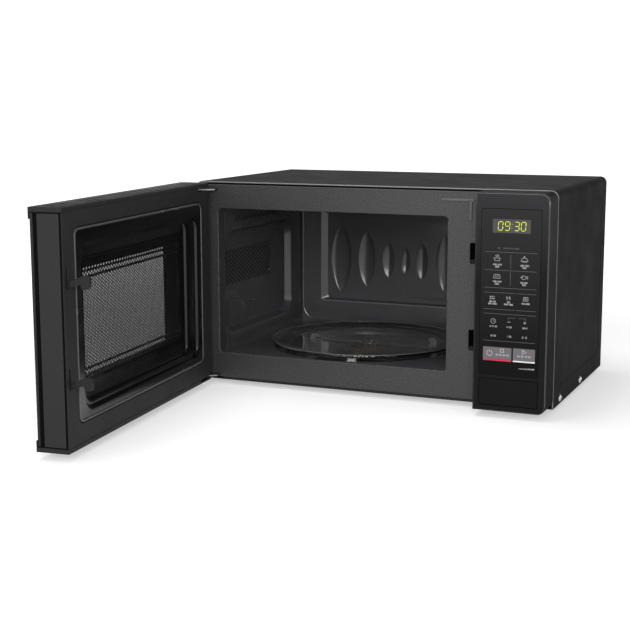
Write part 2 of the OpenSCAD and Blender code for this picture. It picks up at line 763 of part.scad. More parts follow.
module cord_bush() color("#1d1d1e") difference() {
    union() {
        bar_y(inlet[0], inlet[1], inlet_r + 2.6, [back_y - 4, back_y + 1]);
        bar_y(inlet[0], inlet[1], inlet_r + 5, [back_y - 4, back_y - 1.6]);
        bar_y(inlet[0], inlet[1], inlet_r + 5, [back_y - 0.8, back_y + 2]);
    }
    bar_y(inlet[0], inlet[1], inlet_r, [back_y - 5, back_y + 3]);
}

// ---- turntable ----

motor_z1 = well_z - sheet;

module turntable_motor() color("#b4b7b9") difference() {
    union() {
        bar_z(cav_x, tt_y, motor_d / 2, [motor_z1 - motor_h, motor_z1]);
        bar_z(cav_x, tt_y, 7.6, [motor_z1, motor_z1 + 1]);
        for (s = [-1, 1])
            plate_z(
                [cav_x + s * (motor_d / 2 + 4) - 8, cav_x + s * (motor_d / 2 + 4) + 8],
                [tt_y - 6, tt_y + 6], 4, [motor_z1 - 1.2, motor_z1]
            );
        block([cav_x - 12, tt_y + motor_d / 2 - 4, motor_z1 - 10], [cav_x + 12, tt_y + motor_d / 2 + 9, motor_z1 - 2]);
    }
    bar_z(cav_x, tt_y, shaft_r + run_gap, [motor_z1 - 9, motor_z1 + 2]);
}

module turntable_coupler() color("#d9d7d0") {
    bar_z(cav_x, tt_y, shaft_r, [motor_z1 - 8, well_z + 3]);
    bar_z(cav_x, tt_y, 7.4, [well_z + 1.2, tray_z - 0.3]);
    for (i = [0 : 2])
        translate([cav_x, tt_y, 0])
            rotate([0, 0, 120 * i])
                block([0, -3.5, tray_z - 6], [coupler_r - 2, 3.5, tray_z - 0.3]);
}

// Places a piece at one of the three rollers
module at_roller(i) {
    translate([cav_x, tt_y, axle_z])
        rotate([0, 0, ring_turn + 120 * i]) children();
}

module roller_ring() color("#8b6b52") {
    translate([cav_x, tt_y, 0]) difference() {
        cylinder(r = hub_r + 4, h = axle_z + arm_h / 2);
        translate([0, 0, -1]) cylinder(r = hub_r, h = axle_z + arm_h + 1);
        translate([0, 0, -1]) cylinder(r = hub_r + 6, h = axle_z - arm_h / 2 + 1);
    }
    for (i = [0 : 2]) at_roller(i) {
        block([hub_r + 1, -4, 0.4 - arm_h / 2], [wheel_r0 - 1, 4, arm_h / 2 - 0.4]);
        bar_x(0, 0, axle_d / 2, [wheel_r0 - 2, wheel_r0 + roller_w + 2.5]);
        bar_x(0, 0, axle_d / 2 + 1, [wheel_r0 + roller_w + 0.6, wheel_r0 + roller_w + 2.5]);
    }
}

module roller(i) color("#e8e6e0") at_roller(i) difference() {
    bar_x(0, 0, roller_d / 2, [wheel_r0, wheel_r0 + roller_w]);
    bar_x(0, 0, axle_d / 2 + run_gap, [wheel_r0 - 1, wheel_r0 + roller_w + 1]);
}

module roller_1() roller(0);
module roller_2() roller(1);
module roller_3() roller(2);

module glass_tray() color("#b9c4c6") translate([cav_x, tt_y, 0]) {
    rim = tray_z + tray_h;
    rotate_extrude($fn = 120) polygon([
        [0, tray_z],
        [tray_r - 24, tray_z],
        [tray_r - 11, tray_z + 3.2],
        [tray_r - 1.5, rim - 3.4],
        [tray_r, rim - 2.2],
        [tray_r, rim - 0.8],
        [tray_r - 0.8, rim],
        [tray_r - 3.4, rim],
        [tray_r - 12.4, tray_z + 3.2 + tray_t],
        [tray_r - 24, tray_z + tray_t],
        [0, tray_z + tray_t]
    ]);
    for (i = [0 : 2])
        rotate([0, 0, 60 + 120 * i])
            translate([12, 0, tray_z - 3.6]) cylinder(r = 3, h = 4);
}

// ---- control panel ----

// Outline of the panel seen from the front, inset by a distance
module bezel_face(inset) {
    x0 = bezel_x0 + inset;
    x1 = right_x - inset;
    z0 = face_z0 + inset;
    z1 = face_z1 - inset;
    r = bezel_r - inset;
    translate([x0, z0]) square([x1 - r - x0, z1 - z0]);
    translate([x1 - r - 1, z0 + r]) square([r + 1, z1 - z0 - 2 * r]);
    for (z = [z0 + r, z1 - r]) translate([x1 - r, z]) circle(r);
}

// Outline of the panel seen from above, inset by a distance
module bezel_plan(inset, back) {
    x0 = bezel_x0 + inset;
    x1 = right_x - inset;
    y0 = yo + inset;
    r = inset > 0 ? 0.6 : bezel_edge_r;
    translate([x0, y0]) square([x1 - r - x0, back - y0]);
    translate([x1 - r - 1, y0 + r]) square([r + 1, back - y0 - r]);
    translate([x1 - r, y0 + r]) circle(r);
}

module bezel_solid(inset, back) {
    intersection() {
        translate([0, back, 0])
            rotate([90, 0, 0]) linear_extrude(back - yo + 1) bezel_face(inset);
        linear_extrude(case_h + 10) bezel_plan(inset, back);
    }
}

overlay_x = [panel_x - overlay[0] / 2, panel_x + overlay[0] / 2];
window_x = [panel_x - window[0] / 2 + 0.3, panel_x + window[0] / 2 + 0.3];
window_zs = [window_z - window[1] / 2, window_z + window[1] / 2];
button_xs = [panel_x - button_hole[0] / 2, panel_x + button_hole[0] / 2];
button_zs = [button_z0, button_z0 + button_hole[1]];
board_posts = [
    for (x = [overlay_x[0] + 4, overlay_x[1] - 4])
        for (z = [overlay_z0 + 8, overlay_z1 - 4])
            [x, z]
];

module control_bezel() color("#232324") difference() {
    union() {
        difference() {
            bezel_solid(0, front_y);
            bezel_solid(bezel_wall, front_y + 1);
        }
        for (p = board_posts) bar_y(p[0], p[1], 3, [yo + 1, board_y]);
        block([bezel_x0 + 1, yo + 1, button_zs[1] + 1], [right_x - bezel_wall, yo + 12, button_zs[1] + 3]);
    }
    plate_y(overlay_x, [overlay_z0, overlay_z1], 2, [yo - 1, yo + 0.2 + overlay_t]);
    plate_y(window_x, window_zs, 0.8, [yo - 1, yo + 4]);
    plate_y(button_xs, button_zs, 2, [yo - 1, yo + 4]);
}

module keypad_overlay() color("#2a2a2b") difference() {
    plate_y(overlay_x, [overlay_z0, overlay_z1], 2, [yo + 0.2, yo + 0.2 + overlay_t]);
    plate_y(window_x, window_zs, 0.8, [yo - 1, yo + 4]);
}

module display_window() color("#4a4144")
    plate_y(window_x, window_zs, 0.8, [yo + 0.2, yo + 2.4]);

module display_module() color("#1a1a1c") {
    block([window_x[0] - 2, yo + 4, window_zs[0] - 1], [window_x[1] + 2, board_y, window_zs[1] + 1]);
}

module control_board() color("#2f5d3a") difference() {
    block([overlay_x[0], board_y, overlay_z0 + 2], [overlay_x[1], board_y + 1.6, overlay_z1]);
    block([window_x[0] + 12, board_y - 1, overlay_z0 + 40], [window_x[0] + 16, board_y + 3, overlay_z0 + 60]);
}

relay_z = overlay_z0 + 12;

module relays() color("#2e5a8c") {
    for (i = [0 : 1])
        block(
            [overlay_x[0] + 6 + 30 * i, board_y + 1.6, relay_z],
            [overlay_x[0] + 30 + 30 * i, board_y + 17.6, relay_z + 16]
        );
}

module standby_transformer() color("#c9b27a") {
    x = overlay_x[0] + 16;
    z = overlay_z0 + 70;
    block([x, board_y + 1.6, z + 5], [x + 36, board_y + 21, z + 25]);
    block([x + 7, board_y + 1.6, z], [x + 29, board_y + 19, z + 30]);
}

// ---- door release ----

rod_end = front_y + 5;
ramp_y = front_y + 10;

module door_button() color("#202021") {
    x = [button_xs[0] + button_gap, button_xs[1] - button_gap];
    z = [button_zs[0] + button_gap, button_zs[1] - button_gap];
    difference() {
        plate_y(x, z, 1.6, [button_y, button_y + 16]);
        plate_y([x[0] + 2, x[1] - 2], [z[0] + 2, z[1] - 2], 1.2, [button_y + 3, button_y + 17]);
    }
    bar_y(panel_x, rod_z + 1, 2.5, [button_y + 2, button_y + 20]);
    block([rod_x, button_y + 2, rod_z - 4], [rod_x + rod_w, rod_end, rod_z + 4]);
    profile_x(
        [
            [rod_end - e, rod_z - 4],
            [rod_end + 10, rod_z - 4],
            [rod_end + 10, rod_z - 4 + 8 - ramp * 10 + 1],
            [rod_end, rod_z + 5],
            [rod_end - e, rod_z + 5]
        ],
        [rod_x, rod_x + rod_w]
    );
}

module button_spring() color("#b9bcbf")
    translate([panel_x, front_y - 0.4, rod_z + 1])
        rotate([90, 0, 0]) coil(4, 0.5, front_y - button_y - 3.8, 8);

slider_x = [hook_x - 4.6, hook_x + 3.4];
slider_y = [front_y + 14.4, front_y + 20.4];
slider_z1 = face_z0 + hook_slots[0] - fit - lift_max;

module release_slider() color("#e9e7e1") {
    z0 = rod_z + 1.6;
    block([slider_x[0], slider_y[0], z0 + 4], [slider_x[1], slider_y[1], slider_z1]);
    block([slider_x[0], slider_y[0], z0 + 4], [rod_x + rod_w, slider_y[1], z0 + 12]);
    profile_x(
        [
            [rod_end + 2, rod_z + 5 - ramp * 2 + 0.6],
            [slider_y[1], rod_z + 5 - ramp * (slider_y[1] - rod_end) + 0.6],
            [slider_y[1], z0 + 12],
            [rod_end + 2, z0 + 12]
        ],
        [rod_x, rod_x + rod_w]
    );
}

board_z = [rod_z + 26, face_z0 + hook_slots[1] + slot_h + 16];
wall_xs = [latch_x0 - 5, latch_x1 + 2.6];

module latch_board() color("#ece9e2") {
    y0 = front_y + sheet;
    difference() {
        union() {
            block([wall_xs[0], y0, board_z[0]], [wall_xs[1] + 2.4, y0 + 3, board_z[1]]);
            block([wall_xs[0], y0, board_z[0]], [wall_xs[0] + 2.4, y0 + 46, board_z[1]]);
            block([wall_xs[1], y0, board_z[0] + 40], [wall_xs[1] + 2.4, y0 + 46, board_z[1]]);
        }
        for (s = hook_slots)
            block([latch_x0, y0 - 1, hole_z0(s)], [latch_x1, y0 + 4, hole_z0(s) + latch_hole_h]);
        block([wall_xs[0] + 2.4, y0 + 2, board_z[0] - 1], [wall_xs[1] + 3, y0 + 4, board_z[0] + 3]);
    }
    for (s = hook_slots)
        block([latch_x0 - 1, y0, hole_z0(s) - 1], [latch_x1 + 1, ledge_y1, face_z0 + s - fit]);
    block([wall_xs[0], slider_y[0] - 0.4, board_z[0]], [slider_x[0] - fit, slider_y[1] + 2.4, board_z[0] + 14]);
    block([wall_xs[0], slider_y[1] + fit, board_z[0]], [slider_x[1] + 2, slider_y[1] + 2.4, board_z[0] + 14]);
}

switch_size = [10.3, 16, 28];

module interlock_switches() color("#1c1c1e") {
    x0 = wall_xs[0] + 2.4;
    y0 = front_y + sheet + 27;
    for (z = [hole_z0(hook_slots[1]) - 4, hole_z0(hook_slots[0]) - 4, hole_z0(hook_slots[0]) + 30]) {
        block([x0, y0, z], [x0 + switch_size[0], y0 + switch_size[1], z + switch_size[2]]);
        bar_x(y0 - 0.6, z + 14, 1, [x0 + 3, x0 + 7.3]);
        block([x0 + 3, y0 - 0.6, z + 13.4], [x0 + 7.3, y0 + 1, z + 14.6]);
    }
}

// ---- door ----

module hinge_cuts() {
    x = [door_x0 - 1, hinge_x + 25.6];
    block([x[0], hinge_y - 7, up_z - hinge_t - 0.5], [x[1], yi + 1, face_z1 - trim_h + 0.1]);
    block([x[0], hinge_y - 7, low_z - 0.8], [x[1], yi + 1, low_z + hinge_t + 0.4]);
}

boss_h = 13;
screen_x = [dish_x0 - 9, dish_x1 + 9];
screen_z = [dish_z0 - 10, dish_z1 + 10];

module door_frame() color("#333334") swing() difference() {
    z = [face_z0 + trim_h, face_z1 - trim_h];
    g = glass_y1 + edge_groove[1];
    union() {
        difference() {
            union() {
                block([door_x0, g, z[0]], [door_x1, yi, z[1]]);
                block([door_x0 + edge_groove[0], glass_y1, z[0]], [door_x1 - edge_groove[0], g + 1, z[1]]);
            }
            block(
                [door_x0 + door_wall, glass_y1 - 1, z[0] + door_wall],
                [door_x1 - door_wall, yi - door_wall, z[1] - door_wall]
            );
        }
        for (w = [[low_z + hinge_t + 0.4, low_z + hinge_t + 0.4 + boss_h], [up_z - hinge_t - 0.5 - boss_h, up_z - hinge_t - 0.5]])
            block([door_x0, hinge_y - 7.5, w[0]], [hinge_x + 8, hinge_y + 7.5, w[1]]);
        for (x = [dish_x0 - stand_off, dish_x1 + stand_off])
            for (zz = [dish_z0 + 8, cav_z, dish_z1 - 8])
                bar_y(x, zz, 2.6, [dish_y - dish_t, yi - door_wall + 1]);
        block([hook_x - 3.6, yi - door_wall - 10, hook_plate_z1 + 1 + spring_len], [door_x1 - 1, yi - 1, hook_plate_z1 + 4 + spring_len]);
        for (zz = [hook_plate_z0 + 30, hook_plate_z1 - 42])
            block([hook_x - hook_t / 2 - fit - 2, yi - 12, zz], [hook_x - hook_t / 2 - fit, yi - door_wall + 1, zz + 12]);
    }
    plate_y([dish_x0, dish_x1], [dish_z0, dish_z1], 9, [yi - door_wall - 1, yi + 1]);
    for (s = hook_slots)
        block([hook_x - 1.9, yi - door_wall - 1, face_z0 + s], [hook_x + 1.9, yi + 1, face_z0 + s + slot_h]);
    hinge_cuts();
    bar_z(hinge_x, hinge_y, pin_r + run_gap, [low_z + 1, low_z + boss_h - 1]);
    bar_z(hinge_x, hinge_y, pin_r + run_gap, [up_z - hinge_t - boss_h + 1, up_z]);
}

module door_glass() color("#0f0f10") swing()
    block(
        [door_x0 + 0.8, yo + lip_t, face_z0 + trim_h],
        [door_x1 - 0.8, glass_y1, face_z1 - trim_h]
    );

module door_trim_top() color("#2e2e2f") swing() difference() {
    union() {
        block([door_x0, yo, face_z1 - trim_h], [door_x1, yi, face_z1]);
        block([door_x0, yo, face_z1 - trim_h - 7], [door_x1, yo + lip_t, face_z1 - trim_h + 1]);
    }
    block([door_x0 + 4, yo + 12, face_z1 - 2], [door_x1 - 8, yo + 16, face_z1 + 1]);
    hinge_cuts();
}

module door_trim_bottom() color("#2e2e2f") swing() difference() {
    union() {
        block([door_x0, yo, face_z0], [door_x1, yi, face_z0 + trim_h]);
        block([door_x0, yo, face_z0 + trim_h - 1], [door_x1, yo + lip_t, face_z0 + trim_h + 7]);
    }
    hinge_cuts();
}

module door_dish() color("#141415") swing() difference() {
    plate_y([dish_x0 + 0.6, dish_x1 - 0.6], [dish_z0 + 0.6, dish_z1 - 0.6], 8.4, [dish_y - dish_t, yi - 1]);
    plate_y([dish_x0 + 2.4, dish_x1 - 2.4], [dish_z0 + 2.4, dish_z1 - 2.4], 6.6, [dish_y, yi + 1]);
    plate_y([view_x0, view_x1], [view_z0, view_z1], 3, [dish_y - 3, dish_y + 1]);
}

module door_film() color("#3c4042") swing()
    plate_y([view_x0 - 4, view_x1 + 4], [view_z0 - 4, view_z1 + 4], 3, [dish_y, dish_y + 0.4]);

module door_screen() color("#2a2a2c") swing() difference() {
    block([screen_x[0], door_steel_y - 9, screen_z[0]], [screen_x[1], door_steel_y, screen_z[1]]);
    block(
        [screen_x[0] + sheet, door_steel_y - 10, screen_z[0] + sheet],
        [screen_x[1] - sheet, door_steel_y - sheet, screen_z[1] - sheet]
    );
}

// Side view of one hook; y is measured from the door's inner face, z from its slot
function hook_outline(s) = [
    for (p = [
        [-door_wall - 4, 0.6],
        [0.5, 0.6],
        [hook_reach - 10.4, 5.2],
        [hook_reach - 9.2, 1.2],
        [hook_reach - 7.6, 0.2],
        [hook_reach - 1.4, 1],
        [hook_reach, 3.4],
        [hook_reach, 12],
        [hook_reach - 1.6, 13.8],
        [hook_reach - 8.6, 13.8],
        [hook_reach - 11, 12.4],
        [0.5, 7.4],
        [-door_wall - 4, 7.4]
    ]) [yi + p[0], face_z0 + s + p[1]]
];

module latch_hooks() color("#29292a") swing() {
    x = [hook_x - hook_t / 2, hook_x + hook_t / 2];
    for (s = hook_slots) profile_x(hook_outline(s), x);
    block([x[0], yi - door_wall - 13, hook_plate_z0], [x[1], yi - door_wall - fit, hook_plate_z1]);
}

module latch_spring() color("#b9bcbf") swing()
    translate([hook_x, yi - door_wall - 5, hook_plate_z1 + 0.3])
        coil(2.2, 0.4, spring_len + 0.4, 9);

// ---- hinges and screws ----

module hinge_plate(z) {
    difference() {
        union() {
            bar_z(hinge_x, hinge_y, 5.4, [z, z + hinge_t]);
            translate([0, 0, z]) linear_extrude(hinge_t) polygon([
                [hinge_x - 5.4, hinge_y],
                [hinge_x + 5.4, hinge_y - 1],
                [hinge_x + 23.8, front_y - 8],
                [hinge_x + 23.8, front_y + 3],
                [hinge_x + 4.8, front_y + 3],
                [hinge_x + 4.8, front_y - 6]
            ]);
        }
        bar_z(hinge_x, hinge_y, pin_r, [z - 1, z + hinge_t + 1]);
    }
}

// Both hinges: a plate through the front plate and a flange behind it
module hinge(z, flange_z) {
    hinge_plate(z);
    block(
        [hinge_x + 4.8, front_y + sheet, flange_z[0]],
        [hinge_x + 23.8, front_y + sheet + 2.2, flange_z[1]]
    );
}

module upper_hinge() color("#c3c6c8")
    hinge(up_z - hinge_t, [up_z - hinge_t - 24, up_z]);

module lower_hinge() color("#c3c6c8")
    hinge(low_z, [low_z, low_z + 6]);

module hinge_pins() color("#d0d2d4") {
    bar_z(hinge_x, hinge_y, pin_r, [low_z, low_z + boss_h - 2]);
    bar_z(hinge_x, hinge_y, pin_r, [up_z - hinge_t - boss_h + 2.4, up_z]);
}

// Dome-headed screw along +X with its head's underside at the origin
module screw(length) {
    rotate([0, 90, 0]) {
        translate([0, 0, -length]) cylinder(r = screw_r, h = length);
        intersection() {
            cylinder(r = 4.2, h = 3);
            translate([0, 0, -2.6]) sphere(5.6);
        }
    }
}

module case_screws() color("#d6d8da") {
    for (y = side_screws) {
        translate([right_x, y, side_screw_z]) screw(5);
        translate([left_x, y, side_screw_z]) rotate([0, 0, 180]) screw(5);
    }
    for (s = rear_screws)
        translate([s[0], back_y - 0.8, s[1]]) rotate([0, 0, 90]) screw(4);
}

outer_case();
rear_panel();
base_plate();
feet();
front_plate();
cavity_walls();
cavity_back();
cavity_floor();
waveguide();
waveguide_cover();
magnetron_frame();
magnetron_tube();
magnetron_fins();
transformer_core();
transformer_coils();
capacitor();
capacitor_strap();
hv_diode();
fan_housing();
fan_motor();
fan_wheel();
cavity_lamp();
lamp_holder();
thermal_cutouts();
filter_board();
mains_fuse();
cord_bush();
turntable_motor();
turntable_coupler();
roller_ring();
roller_1();
roller_2();
roller_3();
glass_tray();
control_bezel();
keypad_overlay();
display_window();
display_module();
control_board();
relays();
standby_transformer();
door_button();
button_spring();
release_slider();
latch_board();
interlock_switches();
door_frame();
door_glass();
door_trim_top();
door_trim_bottom();
door_screen();
door_dish();
door_film();
latch_hooks();
latch_spring();
upper_hinge();
lower_hinge();
hinge_pins();
case_screws();
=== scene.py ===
import json
import math

import bmesh
import bpy
from mathutils import Matrix, Vector
from mathutils.geometry import tessellate_polygon


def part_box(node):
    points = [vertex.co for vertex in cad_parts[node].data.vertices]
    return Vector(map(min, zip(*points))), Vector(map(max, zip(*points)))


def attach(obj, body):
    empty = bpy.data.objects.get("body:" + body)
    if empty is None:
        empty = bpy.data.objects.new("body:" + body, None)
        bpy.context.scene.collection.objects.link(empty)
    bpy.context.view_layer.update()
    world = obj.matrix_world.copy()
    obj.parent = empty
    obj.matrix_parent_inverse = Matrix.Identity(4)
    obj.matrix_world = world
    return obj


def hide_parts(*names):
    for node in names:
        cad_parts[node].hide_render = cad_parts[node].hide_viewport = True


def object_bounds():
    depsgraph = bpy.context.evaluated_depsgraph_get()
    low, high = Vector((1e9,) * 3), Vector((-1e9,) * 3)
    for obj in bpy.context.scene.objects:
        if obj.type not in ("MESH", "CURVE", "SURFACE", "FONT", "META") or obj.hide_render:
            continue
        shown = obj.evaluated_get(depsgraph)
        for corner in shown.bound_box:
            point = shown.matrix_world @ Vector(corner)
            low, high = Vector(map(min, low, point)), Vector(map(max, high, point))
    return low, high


bl_info = {
    "name": "Counter-top microwave oven",
    "version": (1, 0, 0),
    "blender": (4, 5, 0),
    "location": "3D View > Sidebar > Microwave",
    "description": "Builds a small microwave oven with its door open, ready to render",
    "category": "Object",
}

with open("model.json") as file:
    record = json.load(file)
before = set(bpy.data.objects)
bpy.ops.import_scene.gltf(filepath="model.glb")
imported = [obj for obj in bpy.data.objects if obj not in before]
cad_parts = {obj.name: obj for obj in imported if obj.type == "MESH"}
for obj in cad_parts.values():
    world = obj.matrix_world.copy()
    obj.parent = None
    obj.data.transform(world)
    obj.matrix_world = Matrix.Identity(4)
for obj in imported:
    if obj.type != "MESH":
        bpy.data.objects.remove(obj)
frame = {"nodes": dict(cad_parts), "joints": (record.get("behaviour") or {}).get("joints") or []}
CAD_BOX = [list(corner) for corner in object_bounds()]
MM = 0.001
MERGE = 1e-5  # points nearer than this, in metres, are one
FRONT = (0, -1, 0)  # where a shape on the front of the oven looks
UPWARD = (0, 0, 1)

# Millimetres, as in the CAD
SHEET = 0.8  # inner steel sheets
OVEN_CORNER = 5.0  # radius of the upper edges of the oven space, and of its opening
COLLAR = 15.5  # how far the front plate folds into the oven space


# ---- measures taken from the frame ----


def spread(points):
    """Lowest and highest corner of the box round some points."""
    return tuple(Vector(pick(p[i] for p in points) for i in range(3)) for pick in (min, max))


def limits(node):
    """Lowest and highest corner of a CAD node, in millimetres."""
    low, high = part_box(node)
    return low / MM, high / MM


def joint(name):
    return next(j for j in frame["joints"] if j["name"] == name)


HINGE = Vector(joint("door_hinge")["pos_m"]) / MM
OPEN_ANGLE = math.radians(joint("door_hinge")["range_deg"][1])
SWING = (
    Matrix.Translation(HINGE)
    @ Matrix.Rotation(-OPEN_ANGLE, 4, "Z")
    @ Matrix.Translation(-HINGE)
)


def shut_limits(node):
    """Limits of a door node as they are with the door shut, in millimetres."""
    back = SWING.inverted()
    return spread([back @ (v.co / MM) for v in frame["nodes"][node].data.vertices])


def oven_space():
    """Limits of the oven space across, in depth and in height."""
    low, high = limits("cavity_floor")
    roof = limits("cavity_back")[1].z - SHEET
    return (low.x + SHEET, high.x - SHEET), (low.y, high.y), (high.z, roof)


# ---- sizes and colours a user would change ----


def linear(hex_colour):
    """Turns an sRGB hex colour into the linear values that shaders take."""
    parts = [int(hex_colour[i : i + 2], 16) / 255 for i in (1, 3, 5)]
    return [c / 12.92 if c <= 0.04045 else ((c + 0.055) / 1.055) ** 2.4 for c in parts]


def length(name, description, millimetres):
    return bpy.props.FloatProperty(
        name=name, description=description, default=millimetres * MM, min=0.0,
        unit="LENGTH", precision=4,
    )


def colour(name, description, hex_colour):
    return bpy.props.FloatVectorProperty(
        name=name, description=description, default=linear(hex_colour), min=0.0, max=1.0,
        size=3, subtype="COLOR",
    )


class MicrowaveSizes(bpy.types.PropertyGroup):
    sheet_edge: length("Sheet edge", "Rounding of the cut edges of sheet steel", 0.35)
    moulded_edge: length("Moulded edge", "Rounding of the edges of plastic mouldings", 0.6)
    hole_pitch: length(
        "Screen pitch",
        "Distance between holes of the door screen, drawn coarser than the real 2 mm so that "
        "they show",
        3.7,
    )
    hole_size: length("Screen hole", "Diameter of a hole of the door screen", 2.5)
    vent_pitch: length("Vent pitch", "Distance between vent holes in the oven's walls", 5.4)
    vent_size: length("Vent hole", "Diameter of a vent hole in the oven's walls", 3.6)
    dish_bead: length("Dish bead", "Height of the rounded rim of the door's inner dish", 0.5)
    digit_height: length("Digit height", "Height of the digits of the clock", 10.0)
    print_line: length("Print line", "Width of the thin lines printed on the keypad", 0.32)


class MicrowaveColours(bpy.types.PropertyGroup):
    case: colour("Case", "Textured paint of the wrap-round case", "#232324")
    front: colour("Front plate", "Paint of the steel front plate", "#2e2e2f")
    enamel: colour("Oven enamel", "Enamel of the oven space", "#3a3a3c")
    frame: colour("Door frame", "Textured plastic of the door frame", "#262627")
    dish: colour("Door dish", "Glossy plastic of the door's inner dish", "#0c0c0d")
    panel: colour("Control panel", "Satin plastic of the control panel", "#1f1f20")
    keypad: colour("Keypad", "Membrane over the keys", "#262627")
    print: colour("Print", "Pictograms and numbers on the keypad", "#b4b4b6")
    stop: colour("Stop strip", "Strip under the stop key", "#c8143a")
    start: colour("Start strip", "Strip under the start key", "#d8d8d8")
    digits: colour("Digits", "Glowing digits of the clock", "#c6dc1e")


# ---- shapes, in millimetres ----


def on_x(points, x):
    return [(x, a, b) for a, b in points]


def on_y(points, y):
    return [(a, y, b) for a, b in points]


def on_z(points, z):
    return [(a, b, z) for a, b in points]


def arc(centre, radius, start=0, end=360, count=20):
    """Points from one angle to another, in degrees; a whole turn doesn't repeat its first."""
    steps = range(count + (abs(end - start) < 360))
    angles = [math.radians(start + (end - start) * k / count) for k in steps]
    return [(centre[0] + radius * math.cos(t), centre[1] + radius * math.sin(t)) for t in angles]


def rectangle(a, b):
    return [(a[0], b[0]), (a[1], b[0]), (a[1], b[1]), (a[0], b[1])]


def rounded(a, b, radii, steps=8):
    """Points round a rectangle with the limits a and b, anticlockwise from the lower right.

    The radius is one for all corners, or a list.
    """
    points = []
    corners = ((1, 0, -90), (1, 1, 0), (0, 1, 90), (0, 0, 180))
    for (i, j, start), r in zip(corners, radii if isinstance(radii, list) else [radii] * 4):
        centre = (a[i] + (-r if i else r), b[j] + (-r if j else r))
        points += arc(centre, r, start, start + 90, steps)
    return points


def upright(a, b, by, radii, y, steps):
    """Rounded rectangle on a plane across Y, drawn in from its limits."""
    return on_y(rounded((a[0] + by, a[1] - by), (b[0] + by, b[1] - by), radii, steps), y)


def circle(radius, z, centre, count):
    return on_z(arc(centre, radius, count=count), z)


class Shape:
    """Points and the faces between them; a face's mark picks one of the finishes."""

    def __init__(self):
        self.points, self.faces, self.marks = [], [], []

    def ring(self, points):
        start = len(self.points)
        self.points.extend(tuple(p) for p in points)
        return list(range(start, len(self.points)))

    def face(self, corners, mark=0):
        self.faces.append(tuple(corners))
        self.marks.append(mark)

    def patch(self, points, mark=0):
        """A face with points of its own."""
        self.face(self.ring(points), mark)

    def bridge(self, first, second, mark=0, closed=True):
        count = len(first)
        for i in range(count if closed else count - 1):
            j = (i + 1) % count
            self.face((first[i], first[j], second[j], second[i]), mark)

    def stack(self, loops, mark=0, closed=True):
        """Joins loops of equal length in turn, and gives them back as index rings."""
        rings = [self.ring(loop) for loop in loops]
        for first, second in zip(rings, rings[1:]):
            self.bridge(first, second, mark, closed)
        return rings

    def fill(self, outer, holes=(), mark=0):
        """Flat face inside a ring, with holes left open."""
        rings = [outer, *holes]
        flat = [[Vector(self.points[i]) for i in ring] for ring in rings]
        order = [i for ring in rings for i in ring]
        for corners in tessellate_polygon(flat):
            self.face([order[c] for c in corners], mark)

    def box(self, low, high):
        x, y, z = zip(low, high)
        bottom, top = self.stack([on_z(rectangle(x, y), c) for c in z])
        self.face(bottom[::-1])
        self.face(top)

    def build(self, name, finishes, body, stands_for=(), slot=None, toward=None, sharp=35):
        """Makes the object, puts it on its body and hides the CAD nodes that it stands for.

        Door pieces are drawn with the door shut, and are swung open here.
        """
        mesh = bpy.data.meshes.new(name)
        swing = SWING if body == "door" else Matrix.Identity(4)
        place = Matrix.Scale(MM, 4) @ swing
        mesh.from_pydata([place @ Vector(p) for p in self.points], [], self.faces)
        for finish in finishes:
            mesh.materials.append(FINISHES[finish])
        mesh.polygons.foreach_set("material_index", self.marks)
        work = bmesh.new()
        work.from_mesh(mesh)
        bmesh.ops.remove_doubles(work, verts=work.verts, dist=MERGE / 10)
        bmesh.ops.recalc_face_normals(work, faces=work.faces)
        if toward:
            side = swing.to_3x3() @ Vector(toward)
            if sum(f.normal.dot(side) * f.calc_area() for f in work.faces) < 0:
                bmesh.ops.reverse_faces(work, faces=work.faces)
        work.to_mesh(mesh)
        work.free()
        mesh.shade_smooth()
        mesh.set_sharp_from_angle(angle=math.radians(sharp))
        piece = bpy.data.objects.new(name, mesh)
        bpy.context.scene.collection.objects.link(piece)
        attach(piece, body)
        if stands_for:
            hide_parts(*stands_for)
        return piece


def flowing(points, steps):
    """A smooth line through the given points."""
    line = []
    last = len(points) - 1
    for i in range(last):
        p, q, r, s = (Vector(points[min(max(k, 0), last)]) for k in (i - 1, i, i + 1, i + 2))
        for t in (k / steps for k in range(steps)):
            bend = (2 * p - 5 * q + 4 * r - s) * t**2 + (3 * q - p - 3 * r + s) * t**3
            line.append(0.5 * (2 * q + (r - p) * t + bend))
    line.append(Vector(points[last]))
    return line


def perforate(shape, a, b, pitch, size, place):
    """Staggered holes between the limits a and b; place turns two numbers into a point."""
    columns = max(1, round((a[1] - a[0]) / pitch - 0.5))
    wide = (a[1] - a[0]) / (columns + 0.5)
    rows = max(1, round((b[1] - b[0]) / (pitch * 0.866)))
    high = (b[1] - b[0]) / rows
    edge = ((-0.5, -0.5), (0, -0.5), (0.5, -0.5), (0.5, 0.5), (0, 0.5), (-0.5, 0.5))
    hole = arc((0, 0), size / 2, 210, 570, 6)
    for j in range(rows):
        low = b[0] + high * j
        spare = (a[0], a[0] + wide / 2) if j % 2 else (a[1] - wide / 2, a[1])
        shape.patch([place(*p) for p in rectangle(spare, (low, low + high))])
        for i in range(columns):
            x, y = a[0] + wide / 2 * (j % 2) + wide * (i + 0.5), low + high / 2
            outer = shape.ring([place(x + u * wide, y + v * high) for u, v in edge])
            shape.bridge(outer, shape.ring([place(x + u, y + v) for u, v in hole]))


